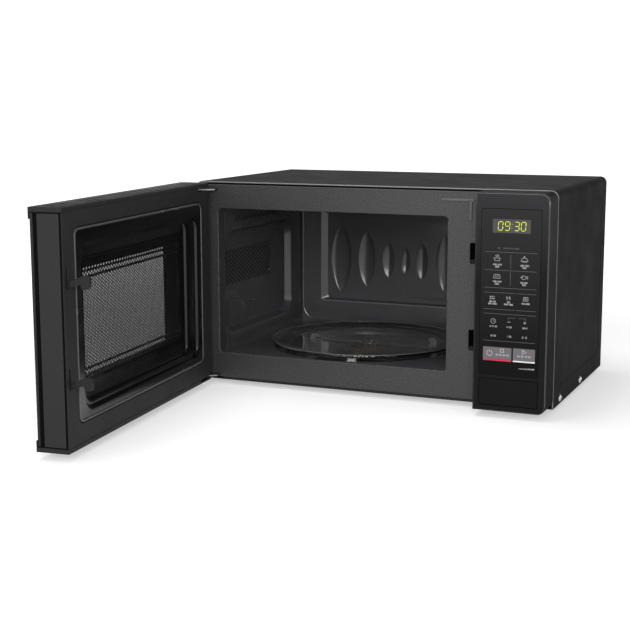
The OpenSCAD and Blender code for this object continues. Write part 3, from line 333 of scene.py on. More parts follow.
def stroke(shape, points, width, y, mark=0, closed=False):
    """Flat line of constant width through points, drawn on a plane across Y."""
    points = [Vector(p) for p in points]
    count = len(points)
    sides = ([], [])
    for i, p in enumerate(points):
        before = points[i - 1] if closed or i else p
        after = points[(i + 1) % count] if closed or i < count - 1 else p
        ends = [(q - r).normalized() for q, r in ((p, before), (after, p)) if (q - r).length > 1e-9]
        along = sum(ends, Vector((0, 0))).normalized()
        across = Vector((-along.y, along.x)) * width / 2 / max(0.5, along.dot(ends[0]))
        for side, sign in zip(sides, (1, -1)):
            side.append((p.x + sign * across.x, y, p.y + sign * across.y))
    shape.bridge(shape.ring(sides[0]), shape.ring(sides[1]), mark, closed)


def soften(piece, width):
    """Rounds the edges of a piece with modifiers, and leaves its own mesh as it is."""
    flat = piece.modifiers.new("Join flat faces", "DECIMATE")
    flat.decimate_type = "DISSOLVE"
    flat.angle_limit = math.radians(1.5)
    bevel = piece.modifiers.new("Rounded edges", "BEVEL")
    bevel.width = width
    bevel.segments = 3
    bevel.limit_method = "ANGLE"
    bevel.angle_limit = math.radians(30)
    bevel.use_clamp_overlap = False
    even = piece.modifiers.new("Flat faces stay flat", "WEIGHTED_NORMAL")
    even.weight = 90


def dress(finish, edge, *nodes):
    """Gives CAD nodes a finish, and rounds their edges by so many millimetres, 0 for none."""
    for node in (frame["nodes"][name] for name in nodes):
        node.data.materials.clear()
        node.data.materials.append(FINISHES[finish])
        node.data.shade_smooth()
        node.modifiers.new("Weld", "WELD").merge_threshold = MERGE
        if edge:
            soften(node, edge * MM)
        else:
            node.modifiers.new("Sharp edges", "EDGE_SPLIT").split_angle = math.radians(30)


# ---- materials ----


def feed(tree, node, sockets):
    """Each socket takes a value, or a link from an output or from a node's first output."""
    for socket, value in sockets.items():
        if isinstance(value, bpy.types.Node):
            value = value.outputs[0]
        if isinstance(value, bpy.types.NodeSocket):
            tree.links.new(value, node.inputs[socket])
        else:
            node.inputs[socket].default_value = value


def add(tree, kind, sockets=None, **settings):
    """Adds a node with its settings, and feeds its sockets."""
    made = tree.nodes.new("ShaderNode" + kind)
    for name, value in settings.items():
        setattr(made, name, value)
    feed(tree, made, sockets or {})
    return made


def per_mm(size):
    """Scale of a pattern whose features repeat every so many millimetres."""
    return 1 / (size * MM)


def surface(
    name, tone, roughness, metallic=0.0, ior=1.5, specular=0.5, passed=0.0, glow=0.0,
    mottle=(0.1, 40), uneven=0.08, grain=None, fleck=0.14, lines=None, fade=None, up=1.0,
):
    """Solid finish whose colour drifts and whose gloss is uneven.

    mottle is the drift's share and its size. grain is a size and a depth, and fleck how far the
    grain shows in the colour. lines is an axis, a spacing and a depth. fade is two heights and
    the colour's share at each, a painted light and shade by height, and up its share on faces
    that look up, a painted light or shade on top faces. All sizes are in mm.
    """
    material = bpy.data.materials.new(name)
    material.use_nodes = True
    tree = material.node_tree
    where = add(tree, "TexCoord").outputs["Object"]
    tone = linear(tone) if isinstance(tone, str) else tone
    share, size = mottle
    drift = add(tree, "TexNoise", {"Scale": per_mm(size), "Detail": 4.0, "Vector": where})
    dark, light = ([c * f for c in tone] for f in (1 - share, 1 + share))
    paint = add(tree, "Mix", {0: drift, 6: [*dark, 1], 7: [*light, 1]}, data_type="RGBA")
    glossy, dull = roughness * (1 - uneven), min(1.0, roughness * (1 + uneven))
    ranges = {"From Min": 0.3, "From Max": 0.7, "To Min": glossy, "To Max": dull}
    sockets = {
        "Roughness": add(tree, "MapRange", {"Value": drift, **ranges}),
        "Metallic": metallic, "IOR": ior, "Specular IOR Level": specular,
        "Transmission Weight": passed,
    }
    shares = []
    depth = 0.0
    if grain:
        size, depth = grain
        values = {"Scale": per_mm(size), "Detail": 3.0, "Roughness": 0.6, "Vector": where}
        height = add(tree, "TexNoise", values).outputs[0]
        shares.append((height, 0.35, 0.65, 1 - fleck, 1 + fleck))
    # colour by height: painted light and shade
    if fade:
        bottom, top, low, high = fade
        level = add(tree, "SeparateXYZ", {0: where}).outputs["Z"]
        shares.append((level, bottom * MM, top * MM, low, high))
    # colour on faces that look up: painted light or shade
    if up != 1.0:
        normal = add(tree, "NewGeometry").outputs["Normal"]
        shares.append((add(tree, "SeparateXYZ", {0: normal}).outputs["Z"], 0.5, 0.9, 1.0, up))
    for values in shares:
        names = ("Value", "From Min", "From Max", "To Min", "To Max")
        part = add(tree, "MapRange", dict(zip(names, values)))
        whole = {0: 1.0, 6: paint.outputs[2], 7: part}
        paint = add(tree, "Mix", whole, data_type="RGBA", blend_type="MULTIPLY")
    sockets["Base Color"] = paint.outputs[2]
    if lines:
        axis, spacing, depth = lines
        values = {"Scale": per_mm(spacing) / 20, "Distortion": 1.0, "Detail": 2.0, "Vector": where}
        height = add(tree, "TexWave", values, bands_direction=axis).outputs["Fac"]
    if depth:
        sockets["Normal"] = add(tree, "Bump", {"Distance": depth * MM, "Height": height})
    if glow:
        sockets.update({"Emission Color": [*tone, 1], "Emission Strength": glow})
    feed(tree, tree.nodes["Principled BSDF"], sockets)
    return material


def sheer(name, tone, roughness, ior, passed):
    """Flat clear sheet: what is behind it shows straight through, and it shines when turned."""
    material = surface(name, tone, roughness, ior=ior, mottle=(0.02, 60))
    tree = material.node_tree
    through = add(tree, "BsdfTransparent", {"Color": (passed, passed, passed, 1)})
    turned = add(tree, "LayerWeight", {"Blend": 0.5}).outputs["Facing"]
    values = {"Value": turned, "From Min": 0.2, "To Min": 0.02, "To Max": 0.15}
    share = add(tree, "MapRange", values)
    both = add(tree, "MixShader", {0: share, 1: through, 2: tree.nodes["Principled BSDF"]})
    feed(tree, tree.nodes["Material Output"], {"Surface": both})
    return material


FINISHES = {}


def make_finishes(colours):
    """All finishes by the name of the record's slot that they belong to."""
    metal = {"metallic": 1.0}
    zinc = {**metal, "uneven": 0.2}
    FINISHES.clear()
    FINISHES.update({
        # Baked polyester powder coat with a fine orange peel: a matt black sheet that still
        # shows a soft sheen. Its grain of about 0.4 mm is drawn at 1.4 mm, so that it shows.
        # faces that look up are painted 22 % lighter: painted light
        "case_paint": surface(
            "powder_coat_textured", colours.case, 0.7, ior=1.45, specular=0.03,
            mottle=(0.025, 40), grain=(1.4, 0.03), up=1.22),
        # The same coat in a dull rear-panel grade.
        "rear_steel": surface(
            "powder_coat_dull", "#1f1f20", 0.75, ior=1.45, specular=0.1, mottle=(0.06, 40),
            grain=(1.4, 0.03)),
        # Phosphated sheet dipped in thin black primer: dull, a little cloudy.
        "base_steel": surface(
            "primed_sheet_black", "#202021", 0.6, specular=0.2, mottle=(0.12, 9), uneven=0.25),
        # Moulded rubber: dull black, with dust in its pores.
        "foot_rubber": surface("rubber_moulded", "#161616", 0.8, specular=0.3, grain=(0.9, 0.04)),
        # Sprayed grey enamel with metal flake on steel: speckled, satin. The flake of 0.1 mm is
        # drawn at 2 mm.
        "front_enamel": surface(
            "sprayed_enamel_grey", colours.front, 0.45, mottle=(0.05, 40), grain=(2.0, 0.02),
            fleck=0.5),
        # Stoved grey enamel inside the oven: smooth and glossy, with soft mirror images.
        "cavity_enamel": surface(
            "stoved_enamel_dark", colours.enamel, 0.24, mottle=(0.05, 40), grain=(1.3, 0.001)),
        # Aluminised sheet: a grey metal with faint clouds.
        "guide_steel": surface("aluminised_sheet", "#a3a6a8", 0.38, mottle=(0.08, 14), **zinc),
        # Pressed mica board: pale brown flakes under a thin varnish.
        "mica": surface(
            "mica_board_pressed", "#8f8166", 0.45, ior=1.56, mottle=(0.3, 5), grain=(2.5, 0.02)),
        # Zinc plate: light grey metal, cloudy.
        "yoke_steel": surface("zinc_plate_bright", "#b4b7b9", 0.35, mottle=(0.08, 12), **zinc),
        # Glazed alumina ceramic: off-white with a wet sheen.
        "ceramic": surface("alumina_glazed", "#cbc4b6", 0.28, ior=1.6, mottle=(0.05, 40)),
        # Rolled aluminium: pale metal with fine lines.
        "fin_aluminium": surface(
            "aluminium_rolled", "#c6c8ca", 0.3, mottle=(0.05, 40), lines=("Y", 1.2, 0.01), **metal),
        # Stack of varnished silicon-steel sheets of 0.5 mm, drawn at 1.6 mm: dark, with a line
        # at each sheet.
        "core_steel": surface(
            "laminated_steel_varnished", "#4a4c4e", 0.42, 0.7, mottle=(0.15, 12),
            lines=("Y", 1.6, 0.12)),
        # Enamelled copper wire of 0.5 mm wound in layers, drawn at 1.5 mm.
        "copper_coil": surface(
            "copper_wire_enamelled", "#9c5a2c", 0.3, 0.85, mottle=(0.12, 8), lines=("Z", 1.5, 0.2)),
        "can_aluminium": surface(
            "aluminium_drawn", "#bfc2c4", 0.33, mottle=(0.05, 40), lines=("Z", 2.5, 0.006),
            **metal),
        "strap_steel": surface("spring_steel_plated", "#989b9e", 0.36, mottle=(0.08, 40), **metal),
        "diode_epoxy": surface("epoxy_cast", "#1c1c1d", 0.3, ior=1.55),
        # Polypropylene with talc, moulded: waxy off-white.
        "fan_plastic": surface(
            "polypropylene_moulded", "#c9c6bd", 0.5, ior=1.49, mottle=(0.03, 40)),
        "motor_steel": surface(
            "motor_plates_varnished", "#606365", 0.45, 0.75, mottle=(0.12, 10),
            lines=("Y", 1.6, 0.1)),
        # Blown glass: clear and warm.
        "lamp_glass": surface(
            "lamp_glass_blown", "#f4efe2", 0.06, passed=1.0, mottle=(0.02, 60), uneven=0.5),
        "holder_plastic": surface("steatite_holder", "#d0cabb", 0.5, ior=1.58, mottle=(0.05, 40)),
        # Phenolic moulding: hard black plastic with a mild shine.
        "cutout_black": surface("phenolic_moulded", "#1f1f20", 0.4, ior=1.6),
        # Solder mask over glass-epoxy board: green and glossy, with faint tracks.
        "board_green": surface("solder_mask_green", "#1f5a34", 0.35, ior=1.55, mottle=(0.25, 3)),
        "fuse_ceramic": surface("fuse_body_ceramic", "#ddd8ca", 0.45, ior=1.55),
        "bush_rubber": surface("pvc_bush_moulded", "#181818", 0.6, ior=1.52, specular=0.35),
        "tt_motor": surface("zinc_plate_motor_can", "#aeb1b3", 0.36, mottle=(0.1, 10), **zinc),
        # Polyphenylene sulphide: brown, heat-proof, slightly mottled.
        "coupler_plastic": surface(
            "polyphenylene_coupler", "#5e4030", 0.45, ior=1.6, mottle=(0.05, 40)),
        "ring_plastic": surface("polyphenylene_brown", "#6e4a33", 0.45, ior=1.6, mottle=(0.1, 14)),
        "roller_plastic": surface(
            "fluoropolymer_turned", "#dedbd4", 0.4, ior=1.4, mottle=(0.03, 40)),
        # Pressed soda-lime glass with a faint green edge: clear, with bright rims.
        "tray_glass": surface(
            "soda_lime_glass_pressed", "#f0f1ef", 0.03, ior=1.52, passed=1.0, mottle=(0.02, 60),
            uneven=1.0),
        # The tray's fire-polished rim, dulled by use, and painted pale as a highlight round the clear
        # glass.
        "painted_rim_highlight": surface("soda_lime_glass_painted_highlight", "#5c5e5f", 0.3, ior=1.52, mottle=(0.1, 12)),
        # Satin ABS from an eroded mould: dark, even, softly reflecting. Painted light makes its face
        # paler towards the top, and painted shade darkens its faces that look up.
        "bezel_plastic": surface(
            "abs_satin", colours.panel, 0.5, ior=1.53, specular=0.005, mottle=(0.04, 40),
            grain=(1.0, 0.006), fade=(150, 245, 0.9, 2.4), up=0.22),
        # Polycarbonate film with a fine velvet face over printed ink. Painted light makes it paler
        # towards the top, painted shade darker towards the bottom.
        "overlay_film": surface(
            "polycarbonate_film_velvet", colours.keypad, 0.45, ior=1.58, specular=0.03,
            mottle=(0.05, 40), grain=(1.0, 0.008), fade=(60, 230, 0.3, 1.28)),
        # Smoked acrylic over the clock: a violet grey with a clean shine.
        "window_plastic": surface("acrylic_smoked", "#2e272a", 0.12, ior=1.49, mottle=(0.05, 15)),
        "display_glass": surface("display_tube_glass", "#141416", 0.15, ior=1.52),
        "relay_blue": surface("polyester_relay_case", "#2a5486", 0.35, ior=1.56),
        "winding_tape": surface(
            "polyester_tape", "#c2a45a", 0.3, ior=1.6, mottle=(0.08, 40), lines=("X", 5, 0.04)),
        "button_plastic": surface(
            "abs_button_satin", "#171718", 0.45, ior=1.53, specular=0.03, mottle=(0.04, 40),
            grain=(1.0, 0.006)),
        # Drawn music wire, zinc-plated.
        "spring_steel": surface("music_wire_plated", "#b6b9bb", 0.28, mottle=(0.06, 3), **metal),
        # Acetal: milky white and slippery.
        "slider_plastic": surface("acetal_white", "#d9d7d0", 0.4, ior=1.48, mottle=(0.03, 40)),
        # Nylon behind the latch holes: black, with little shine.
        "latch_plastic": surface(
            "nylon_black_moulded", "#0f0f10", 0.6, ior=1.53, specular=0.2, mottle=(0.04, 40)),
        "switch_black": surface("phenolic_switch_case", "#1a1a1b", 0.42, ior=1.6),
        # ABS moulded against a spark-eroded texture: its 0.3 mm grain is drawn at 1.2 mm.
        "door_plastic": surface(
            "abs_spark_eroded", colours.frame, 0.6, ior=1.53, specular=0.15, mottle=(0.05, 40),
            grain=(1.2, 0.03)),
        # Float glass, smoked: dark from outside. Its two faces together pass half of the light.
        "door_glass": sheer("float_glass_smoked", "#121213", 0.04, 1.52, 0.7),
        # The same ABS with a finer grain, on the door's trims; painted shade darkens their faces that
        # look up.
        "trim_plastic": surface(
            "abs_trim_satin", colours.frame, 0.5, ior=1.53, specular=0.1, mottle=(0.05, 40),
            grain=(1.0, 0.008), up=0.3),
        # Electro-dipped black on perforated steel.
        "screen_enamel": surface("dipped_enamel_black", "#121213", 0.35, specular=0.4),
        # Polypropylene dish from a polished mould: piano black with long soft reflections.
        "dish_plastic": surface(
            "polypropylene_polished", colours.dish, 0.2, ior=1.49, specular=0.35,
            mottle=(0.05, 40), uneven=0.2),
        # The same plastic on the bead round the dish, painted grey as a highlight.
        "dish_bead": surface(
            "polypropylene_painted_highlight", "#4a4a4c", 0.25, ior=1.49, mottle=(0.05, 40), uneven=0.2),
        # Polyester film over the screen: clear, with a thin shine at flat angles.
        "film_plastic": sheer("polyester_film_clear", "#202020", 0.05, 1.25, 0.92),
        # Glass-filled nylon: black with a dry shine.
        "hook_plastic": surface(
            "nylon_glass_filled", "#131314", 0.5, ior=1.53, specular=0.2, mottle=(0.06, 40),
            grain=(1.0, 0.01)),
        "hinge_steel": surface("zinc_plate_hinge", "#7e8082", 0.38, mottle=(0.08, 8), **zinc),
        # Nickel-plated steel, rolled thread and pressed head: bright, with a few dull spots.
        "screw_steel": surface(
            "nickel_plate_bright", "#c9cbcc", 0.2, mottle=(0.06, 3), uneven=0.3, **metal),
        # Dead black, for the painted shadow in gaps, grooves and behind vents.
        "painted_shadow_black": surface(
            "black_painted_shadow", "#060606", 0.95, ior=1.4, specular=0.1, grain=(0.8, 0.03)),
        # The case's powder coat drawn thin over the rolled hem: smoother and shinier, and painted pale
        # as a highlight.
        "painted_hem_highlight": surface(
            "powder_coat_painted_highlight", "#747476", 0.35, mottle=(0.05, 40), grain=(1.4, 0.005)),
        # The front plate's enamel over its rolled edge, rubbed a little shiny by dishes.
        "rim_paint": surface(
            "sprayed_enamel_rubbed", "#3a3a3b", 0.28, mottle=(0.08, 25), grain=(1.1, 0.004)),
        # The same enamel on raised lines and folds, painted paler as a highlight.
        "painted_line_highlight": surface(
            "sprayed_enamel_painted_highlight", "#4c4c4e", 0.35, mottle=(0.08, 25), grain=(1.1, 0.004)),
        # Moulded edge of the panel: shinier than the face, and painted paler as a highlight, brightest
        # along its top.
        "bezel_edge_painted_highlight": surface(
            "abs_moulded_painted_highlight", "#4a4a4c", 0.35, ior=1.53, specular=0.3, mottle=(0.08, 30),
            uneven=0.15, fade=(232, 243, 0.55, 2.6)),
        # Black screen print on the inner face of the door's glass: fully opaque.
        "glass_print": surface("ceramic_ink_black", "#0b0b0c", 0.4, specular=0.3),
        # The same print through the glass from outside: black, with the glass's clean mirror.
        "glass_black": surface(
            "float_glass_over_black_ink", "#0d0d0e", 0.05, ior=1.52, mottle=(0.03, 40)),
        # Silk-screened inks on the keypad: flat and dull, a little patchy.
        "print_ink": surface("screen_ink_grey", colours.print, 0.5, mottle=(0.04, 4)),
        "print_line": surface("screen_ink_dim", "#5c5c5e", 0.5, mottle=(0.04, 4)),
        "key_ink": surface("screen_ink_key", "#5b575a", 0.5, mottle=(0.05, 5)),
        "stop_ink": surface("screen_ink_red", colours.stop, 0.45, mottle=(0.04, 4)),
        "start_ink": surface("screen_ink_white", colours.start, 0.45, mottle=(0.03, 4)),
        # Phosphor that glows yellow-green behind the clock's window.
        "digits": surface(
            "fluorescent_phosphor", colours.digits, 0.5, mottle=(0.08, 1.5), glow=0.6),
    })


# ---- stage ----


class MICROWAVE_OT_stage(bpy.types.Operator):
    """Pale floor, soft lamps, white world and the camera"""

    bl_idname = "microwave.stage"
    bl_label = "Stage"

    EYE = (0.56065, -1.57939, 0.35704)
    TURN = (23.48, 9.61, -0.12)  # azimuth, elevation and roll, in degrees
    LENS = 75.215
    AIM = (0.0, -0.15, 0.12)  # where the lamps point
    # name, place, width and height in metres, power in watts
    LAMPS = (
        ("key", (0.8, -2.6, 0.95), (1.2, 1.0), 44),
        ("side", (2.2, -1.6, 1.0), (0.8, 1.2), 12),
        ("front", (-1.15, -2.75, 1.0), (2.1, 1.8), 18),
        ("top", (-0.4, -0.3, 2.3), (1.6, 1.0), 26),
        ("rim", (-1.0, 2.4, 1.3), (2.0, 0.4), 8),
    )

    def execute(self, context):
        scene = context.scene
        scene.view_settings.view_transform = "Standard"
        make_finishes(scene.microwave_colours)
        ground = CAD_BOX[0][2] / MM
        # far from the oven the floor glows to white, and near it keeps the shadow
        floor = Shape()
        rings = floor.stack([circle(r, ground, (0, 0), 64) for r in (300, 1200, 3000, 5000)])
        floor.fill(rings[0])
        self.board("floor", floor, 0.45)
        wall = Shape()
        bend = arc((0, 0), 4900, -60, 210, 54)
        wall.stack([on_z(bend, z) for z in (ground - 5, 300, 700, 1000)], closed=False)
        self.board("backdrop", wall, 1.0)
        self.world(scene)
        self.lamps(scene)
        self.camera(scene)
        return {"FINISHED"}

    def board(self, name, shape, near):
        """Diffuse white board that also glows, for the camera and for what gloss shows."""
        mesh = bpy.data.meshes.new(name)
        mesh.from_pydata([Vector(p) * MM for p in shape.points], [], shape.faces)
        board = bpy.data.objects.new(name, mesh)
        bpy.context.scene.collection.objects.link(board)
        material = bpy.data.materials.new("painted_board_white")
        material.use_nodes = True
        tree = material.node_tree
        tree.nodes.clear()
        where = add(tree, "TexCoord").outputs["Object"]
        drift = add(tree, "TexNoise", {"Scale": per_mm(400), "Vector": where})
        tones = {6: (0.60, 0.60, 0.60, 1), 7: (0.62, 0.62, 0.62, 1)}
        pale = add(tree, "Mix", {0: drift, **tones}, data_type="RGBA")
        matt = add(tree, "BsdfDiffuse", {"Color": pale.outputs[2]})
        far = add(tree, "VectorMath", {0: where}, operation="LENGTH").outputs["Value"]
        values = {"Value": far, "From Min": 0.4, "From Max": 1.4, "To Min": near, "To Max": 1.0}
        level = add(tree, "MapRange", values, interpolation_type="SMOOTHSTEP")
        seen = self.seen(tree, "Camera", "Glossy", "Transmission")
        strength = add(tree, "Math", {0: seen, 1: level}, operation="MULTIPLY")
        glow = add(tree, "Emission", {"Color": (1, 1, 1, 1), "Strength": strength})
        both = add(tree, "AddShader", {0: matt, 1: glow})
        add(tree, "OutputMaterial", {"Surface": both})
        mesh.materials.append(material)

    def seen(self, tree, *rays):
        """1 for the named kinds of ray, 0 for any other."""
        path = add(tree, "LightPath").outputs
        first, *others = (path[f"Is {ray} Ray"] for ray in rays)
        for other in others:
            first = add(tree, "Math", {0: first, 1: other}, operation="MAXIMUM")
        return first

    def world(self, scene):
        """Even grey room light, which the camera sees as white."""
        scene.world = bpy.data.worlds.new("studio")
        scene.world.use_nodes = True
        tree = scene.world.node_tree
        tree.nodes.clear()
        shown = self.seen(tree, "Camera", "Transmission")
        strength = add(tree, "MapRange", {"Value": shown, "To Min": 0.3, "To Max": 1.0})
        sky = add(tree, "Background", {"Color": (1, 1, 1, 1), "Strength": strength})
        add(tree, "OutputWorld", {"Surface": sky})

    def lamps(self, scene):
        for name, place, size, power in self.LAMPS:
            light = bpy.data.lights.new(name, "AREA")
            light.shape = "RECTANGLE"
            light.size, light.size_y = size
            light.energy = power
            lamp = bpy.data.objects.new(name, light)
            lamp.location = place
            away = Vector(place) - Vector(self.AIM)
            lamp.rotation_euler = away.to_track_quat("Z", "Y").to_euler()
            scene.collection.objects.link(lamp)

    def camera(self, scene):
        data = bpy.data.cameras.new("camera")
        data.sensor_width = 36.0
        data.lens = self.LENS
        data.clip_end = 50.0
        camera = bpy.data.objects.new("camera", data)
        azimuth, elevation, roll = (math.radians(a) for a in self.TURN)
        flat = math.cos(elevation)
        ahead = Vector((-math.sin(azimuth) * flat, math.cos(azimuth) * flat, -math.sin(elevation)))
        right = ahead.cross(Vector(UPWARD)).normalized()
        up = right.cross(ahead)
        c, s = math.cos(roll), math.sin(roll)
        axes = Matrix((right * c + up * s, up * c - right * s, -ahead)).transposed()
        camera.matrix_world = Matrix.Translation(self.EYE) @ axes.to_4x4()
        scene.collection.objects.link(camera)
        scene.camera = camera


# ---- case ----


class MICROWAVE_OT_case(bpy.types.Operator):
    """Wrap-round case, rear panel, base plate, feet and cord bush"""

    bl_idname = "microwave.case"
    bl_label = "Case"

    def execute(self, context):
        dress("case_paint", context.scene.microwave_sizes.sheet_edge / MM, "outer_case")
        dress("rear_steel", 0.2, "rear_panel")
        dress("base_steel", 0, "base_plate")
        dress("foot_rubber", 0.6, "feet")
        dress("bush_rubber", 0.5, "cord_bush")
        self.hem()
        return {"FINISHED"}

    def hem(self):
        """Rolled hem along the case's front edge and the plate's own edge, both painted pale as
        highlights, and the gap under the hem, a black strip of painted shadow.
        """
        low, high = limits("outer_case")
        shape = Shape()
        # bead radius, how far it stands forward and outward, its depth below the top, corner
        for r, proud, out, down, corner, mark in (
            (0.75, 0.35, 0.3, 0.05, 8.0, 0),
            (0.4, 0.05, -1.0, 3.9, 5.5, 2),
        ):
            x, top = (low.x - out + r, high.x + out - r), high.z - down - r
            line = rounded(x, (low.z, top), corner, 10)[11:33]  # its two upper corners
            if mark == 0:
                line = [(line[0][0], low.z + 1), *line, (line[-1][0], low.z + 1)]
            loops = []
            for angle in (2 * math.pi * k / 12 for k in range(13)):
                loop = []
                for a, b in line:
                    inner = min(max(a, x[0] + corner), x[1] - corner), min(b, top - corner)
                    away = Vector((a - inner[0], b - inner[1])).normalized() * r * math.cos(angle)
                    loop.append((a + away.x, low.y - proud + r * math.sin(angle), b + away.y))
                loops.append(loop)
            shape.stack(loops, mark, closed=False)
        # black strip along the gap under the hem: painted shadow
        gap = [[(low.x + 9, b), (high.x - 4, b)] for b in (high.z - 1.5, high.z - 3.6)]
        shape.stack([on_y(side, low.y - 0.02) for side in gap], 1, closed=False)
        finishes = ("painted_hem_highlight", "painted_shadow_black", "painted_line_highlight")
        shape.build("case_hem", finishes, "cabinet", toward=FRONT, sharp=60)


class MICROWAVE_OT_front_plate(bpy.types.Operator):
    """Steel front plate with the oven's opening, and the collar it folds into the oven"""

    bl_idname = "microwave.front_plate"
    bl_label = "Front plate"

    RIM = ((-0.8, 0.02), (-0.6, -0.25), (-0.1, -0.4), (0.3, -0.25), (0.5, 0.3), (0.5, 1.5))
    LINE = ((-0.1, 0.0), (-0.1, -0.6), (0.2, -1.0), (0.9, -1.15))

    def execute(self, context):
        dress("front_enamel", 0.5, "front_plate")
        x, _, z = oven_space()
        low, high = limits("outer_case")
        shape = Shape()
        loops = [upright(x, z, by, OVEN_CORNER - by, low.y + y, 10) for by, y in self.RIM]
        # the sides and the bottom only: the roof's edge is hidden
        shape.stack([loop[32:] + loop[:12] for loop in loops], closed=False)
        shape.build("opening_rim", ["rim_paint"], "cabinet", toward=FRONT, sharp=60)
        # the L-shaped raised line beside the panel, painted paler all over as a highlight
        side = limits("control_bezel")[0].x
        shape = Shape()
        for x, z in (
            ((side - 53.0, side - 12.7), (high.z - 15.1, high.z - 11.9)),
            ((side - 19.0, side - 15.8), (high.z - 36.9, high.z - 12.3)),
        ):
            bar = shape.stack([upright(x, z, by, 1.5 - by, low.y + y, 6) for by, y in self.LINE])
            shape.fill(bar[-1])
        shape.build("plate_line", ["painted_line_highlight"], "cabinet", toward=FRONT, sharp=60)
        return {"FINISHED"}


# ---- oven space ----


class MICROWAVE_OT_cavity(bpy.types.Operator):
    """Walls, back and floor of the oven space, with their pressed panels, vents and hollows"""

    bl_idname = "microwave.cavity"
    bl_label = "Oven space"

    # Inset, depth and loss of corner radius of the loops down the left wall's pressed panel
    SIDE_PRESS = (
        (0.0, 0.0, 0), (0.9, 0.4, 0), (2.0, 1.8, 1), (5.4, 7.8, 3), (6.4, 9.1, 4), (8.0, 9.5, 5),
    )
    # Inset and height of the rounded flange round the back wall
    FLANGE = ((0.4, 0.0), (0.9, 0.9), (1.7, 1.3), (2.6, 0.9), (3.4, 0.0))
    # Inset at the sides, inset at the bottom, and depth of the back wall's pressed panel
    BACK_PRESS = (
        (0.0, 0.0, 0.0), (0.7, 1.7, 0.36), (7.4, 3.6, 4.5), (8.2, 4.2, 4.9), (9.2, 5.0, 5.0),
    )
    # Distance from the middle one, half width, half height and bulge of each hollow
    HOLLOWS = (
        (-96, 15.8, 48, 4.5), (-56.7, 12.5, 38.5, 2.0), (-24.3, 9, 25, 1.4), (0, 7.2, 19, 1.3),
        (24.3, 9, 25, 1.4), (56.7, 12.5, 38.5, 2.0), (91, 15.8, 48, 4.5),
    )

    def execute(self, context):
        sizes = context.scene.microwave_sizes
        self.pitch, self.size = sizes.vent_pitch / MM, sizes.vent_size / MM
        self.x, self.y, self.z = oven_space()
        self.walls()
        self.back()
        self.floor()
        dress("mica", 0.2, "waveguide_cover")
        return {"FINISHED"}

    def vents(self, shape, x, y, z, backed=True):
        """Vent holes in a wall, with a black sheet behind them as painted shadow, or open to the lamp;
        gives their outline.
        """
        if backed:
            perforate(shape, z, y, self.pitch, self.size, lambda v, u: (x, u, v))
            # black sheet behind the holes: painted shadow
            shape.patch(on_x(rectangle(y, z), x - 2 * SHEET), 2)
        else:
            perforate(shape, y, z, self.pitch, self.size, lambda u, v: (x, u, v))
        return shape.ring(on_x(rectangle(y, z), x))

    def walls(self):
        """Left wall with its pressed panel and vents, roof, and right wall."""
        shape = Shape()
        (x0, x1), (y0, y1), (z0, z1) = self.x, self.y, self.z
        inner, edge_z = y0 + COLLAR, z1 - OVEN_CORNER
        outline = shape.ring(on_x(rectangle((inner, y1), (z0, edge_z)), x0))
        rings = shape.stack([
            on_x(rounded((inner + 0.6 + by, y1 - 35 - by), (z0 + 18 + by, z1 - 30 - by), 24 - less),
                 x0 - sink)
            for by, sink, less in self.SIDE_PRESS
        ])
        upper = self.vents(shape, x0, (-91.0, 41.0), (z1 - 22.5, z1 - 14.5))
        shape.fill(outline, [rings[0], upper])
        depth = self.SIDE_PRESS[-1][1]
        shape.fill(rings[-1], [self.vents(shape, x0 - depth, (-98.0, 36.0), (112.0, 160.0))])
        # collar of the front plate, painted like it
        collar = [on_x([(y, z0), (y, edge_z)], x0) for y in (y0, inner)]
        shape.stack(collar, 1, closed=False)
        # roof with its rounded edges, and right wall with a vented lamp port
        edge = arc((x0 + OVEN_CORNER, edge_z), OVEN_CORNER, 180, 90, 6)
        profile = edge + [(x0 + x1 - a, b) for a, b in reversed(edge)]
        for ends, mark in (((y0, inner), 1), ((inner, y1), 0)):
            shape.stack([on_y(profile, y) for y in ends], mark, closed=False)
        outline = shape.ring(on_x(rectangle((y0, y1), (z0, edge_z)), x1))
        shape.fill(outline, [self.vents(shape, x1, (62.0, 92.0), (176.0, 204.0), backed=False)])
        finishes = ("cavity_enamel", "front_enamel", "painted_shadow_black")
        shape.build("oven_walls", finishes, "cabinet", ["cavity_walls"], "cavity_enamel", sharp=28)

    def back(self):
        """Back wall with its rounded flange, pressed panel and row of lens-shaped hollows."""
        shape = Shape()
        x, z, y = self.x, self.z, self.y[1]
        outer = shape.ring(on_y(rounded(x, z, 0.6, 2), y))
        flange = shape.stack([
            upright(x, z, by, [max(2, r - by) for r in (25, 6, 6, 25)], y - proud, 8)
            for by, proud in self.FLANGE
        ])
        shape.fill(outer, [flange[0]])
        left, right, bottom, top = x[0] + 29.5, x[1] - 29.5, z[0] + 31, z[1] - 18
        loops = [
            on_y(rounded((left + by, right - by), (bottom + up, top - by), 3.2 + 0.2 * by), y + sink)
            for by, up, sink in self.BACK_PRESS
        ]
        # outer edge of the pressed panel, painted paler as a highlight
        edge = shape.stack(loops[:2], 1)
        press = shape.stack(loops[1:])
        shape.fill(flange[-1], [edge[0]])
        cx, cz = sum(x) / 2 + 4.7, sum(z) / 2 + 2
        floor = y + self.BACK_PRESS[-1][2]
        holes = [self.hollow(shape, cx + away, cz, *size, floor) for away, *size in self.HOLLOWS]
        shape.fill(press[-1], holes)
        finishes = ("cavity_enamel", "painted_line_highlight")
        shape.build("oven_back", finishes, "cabinet", ["cavity_back"], "cavity_enamel", sharp=16)

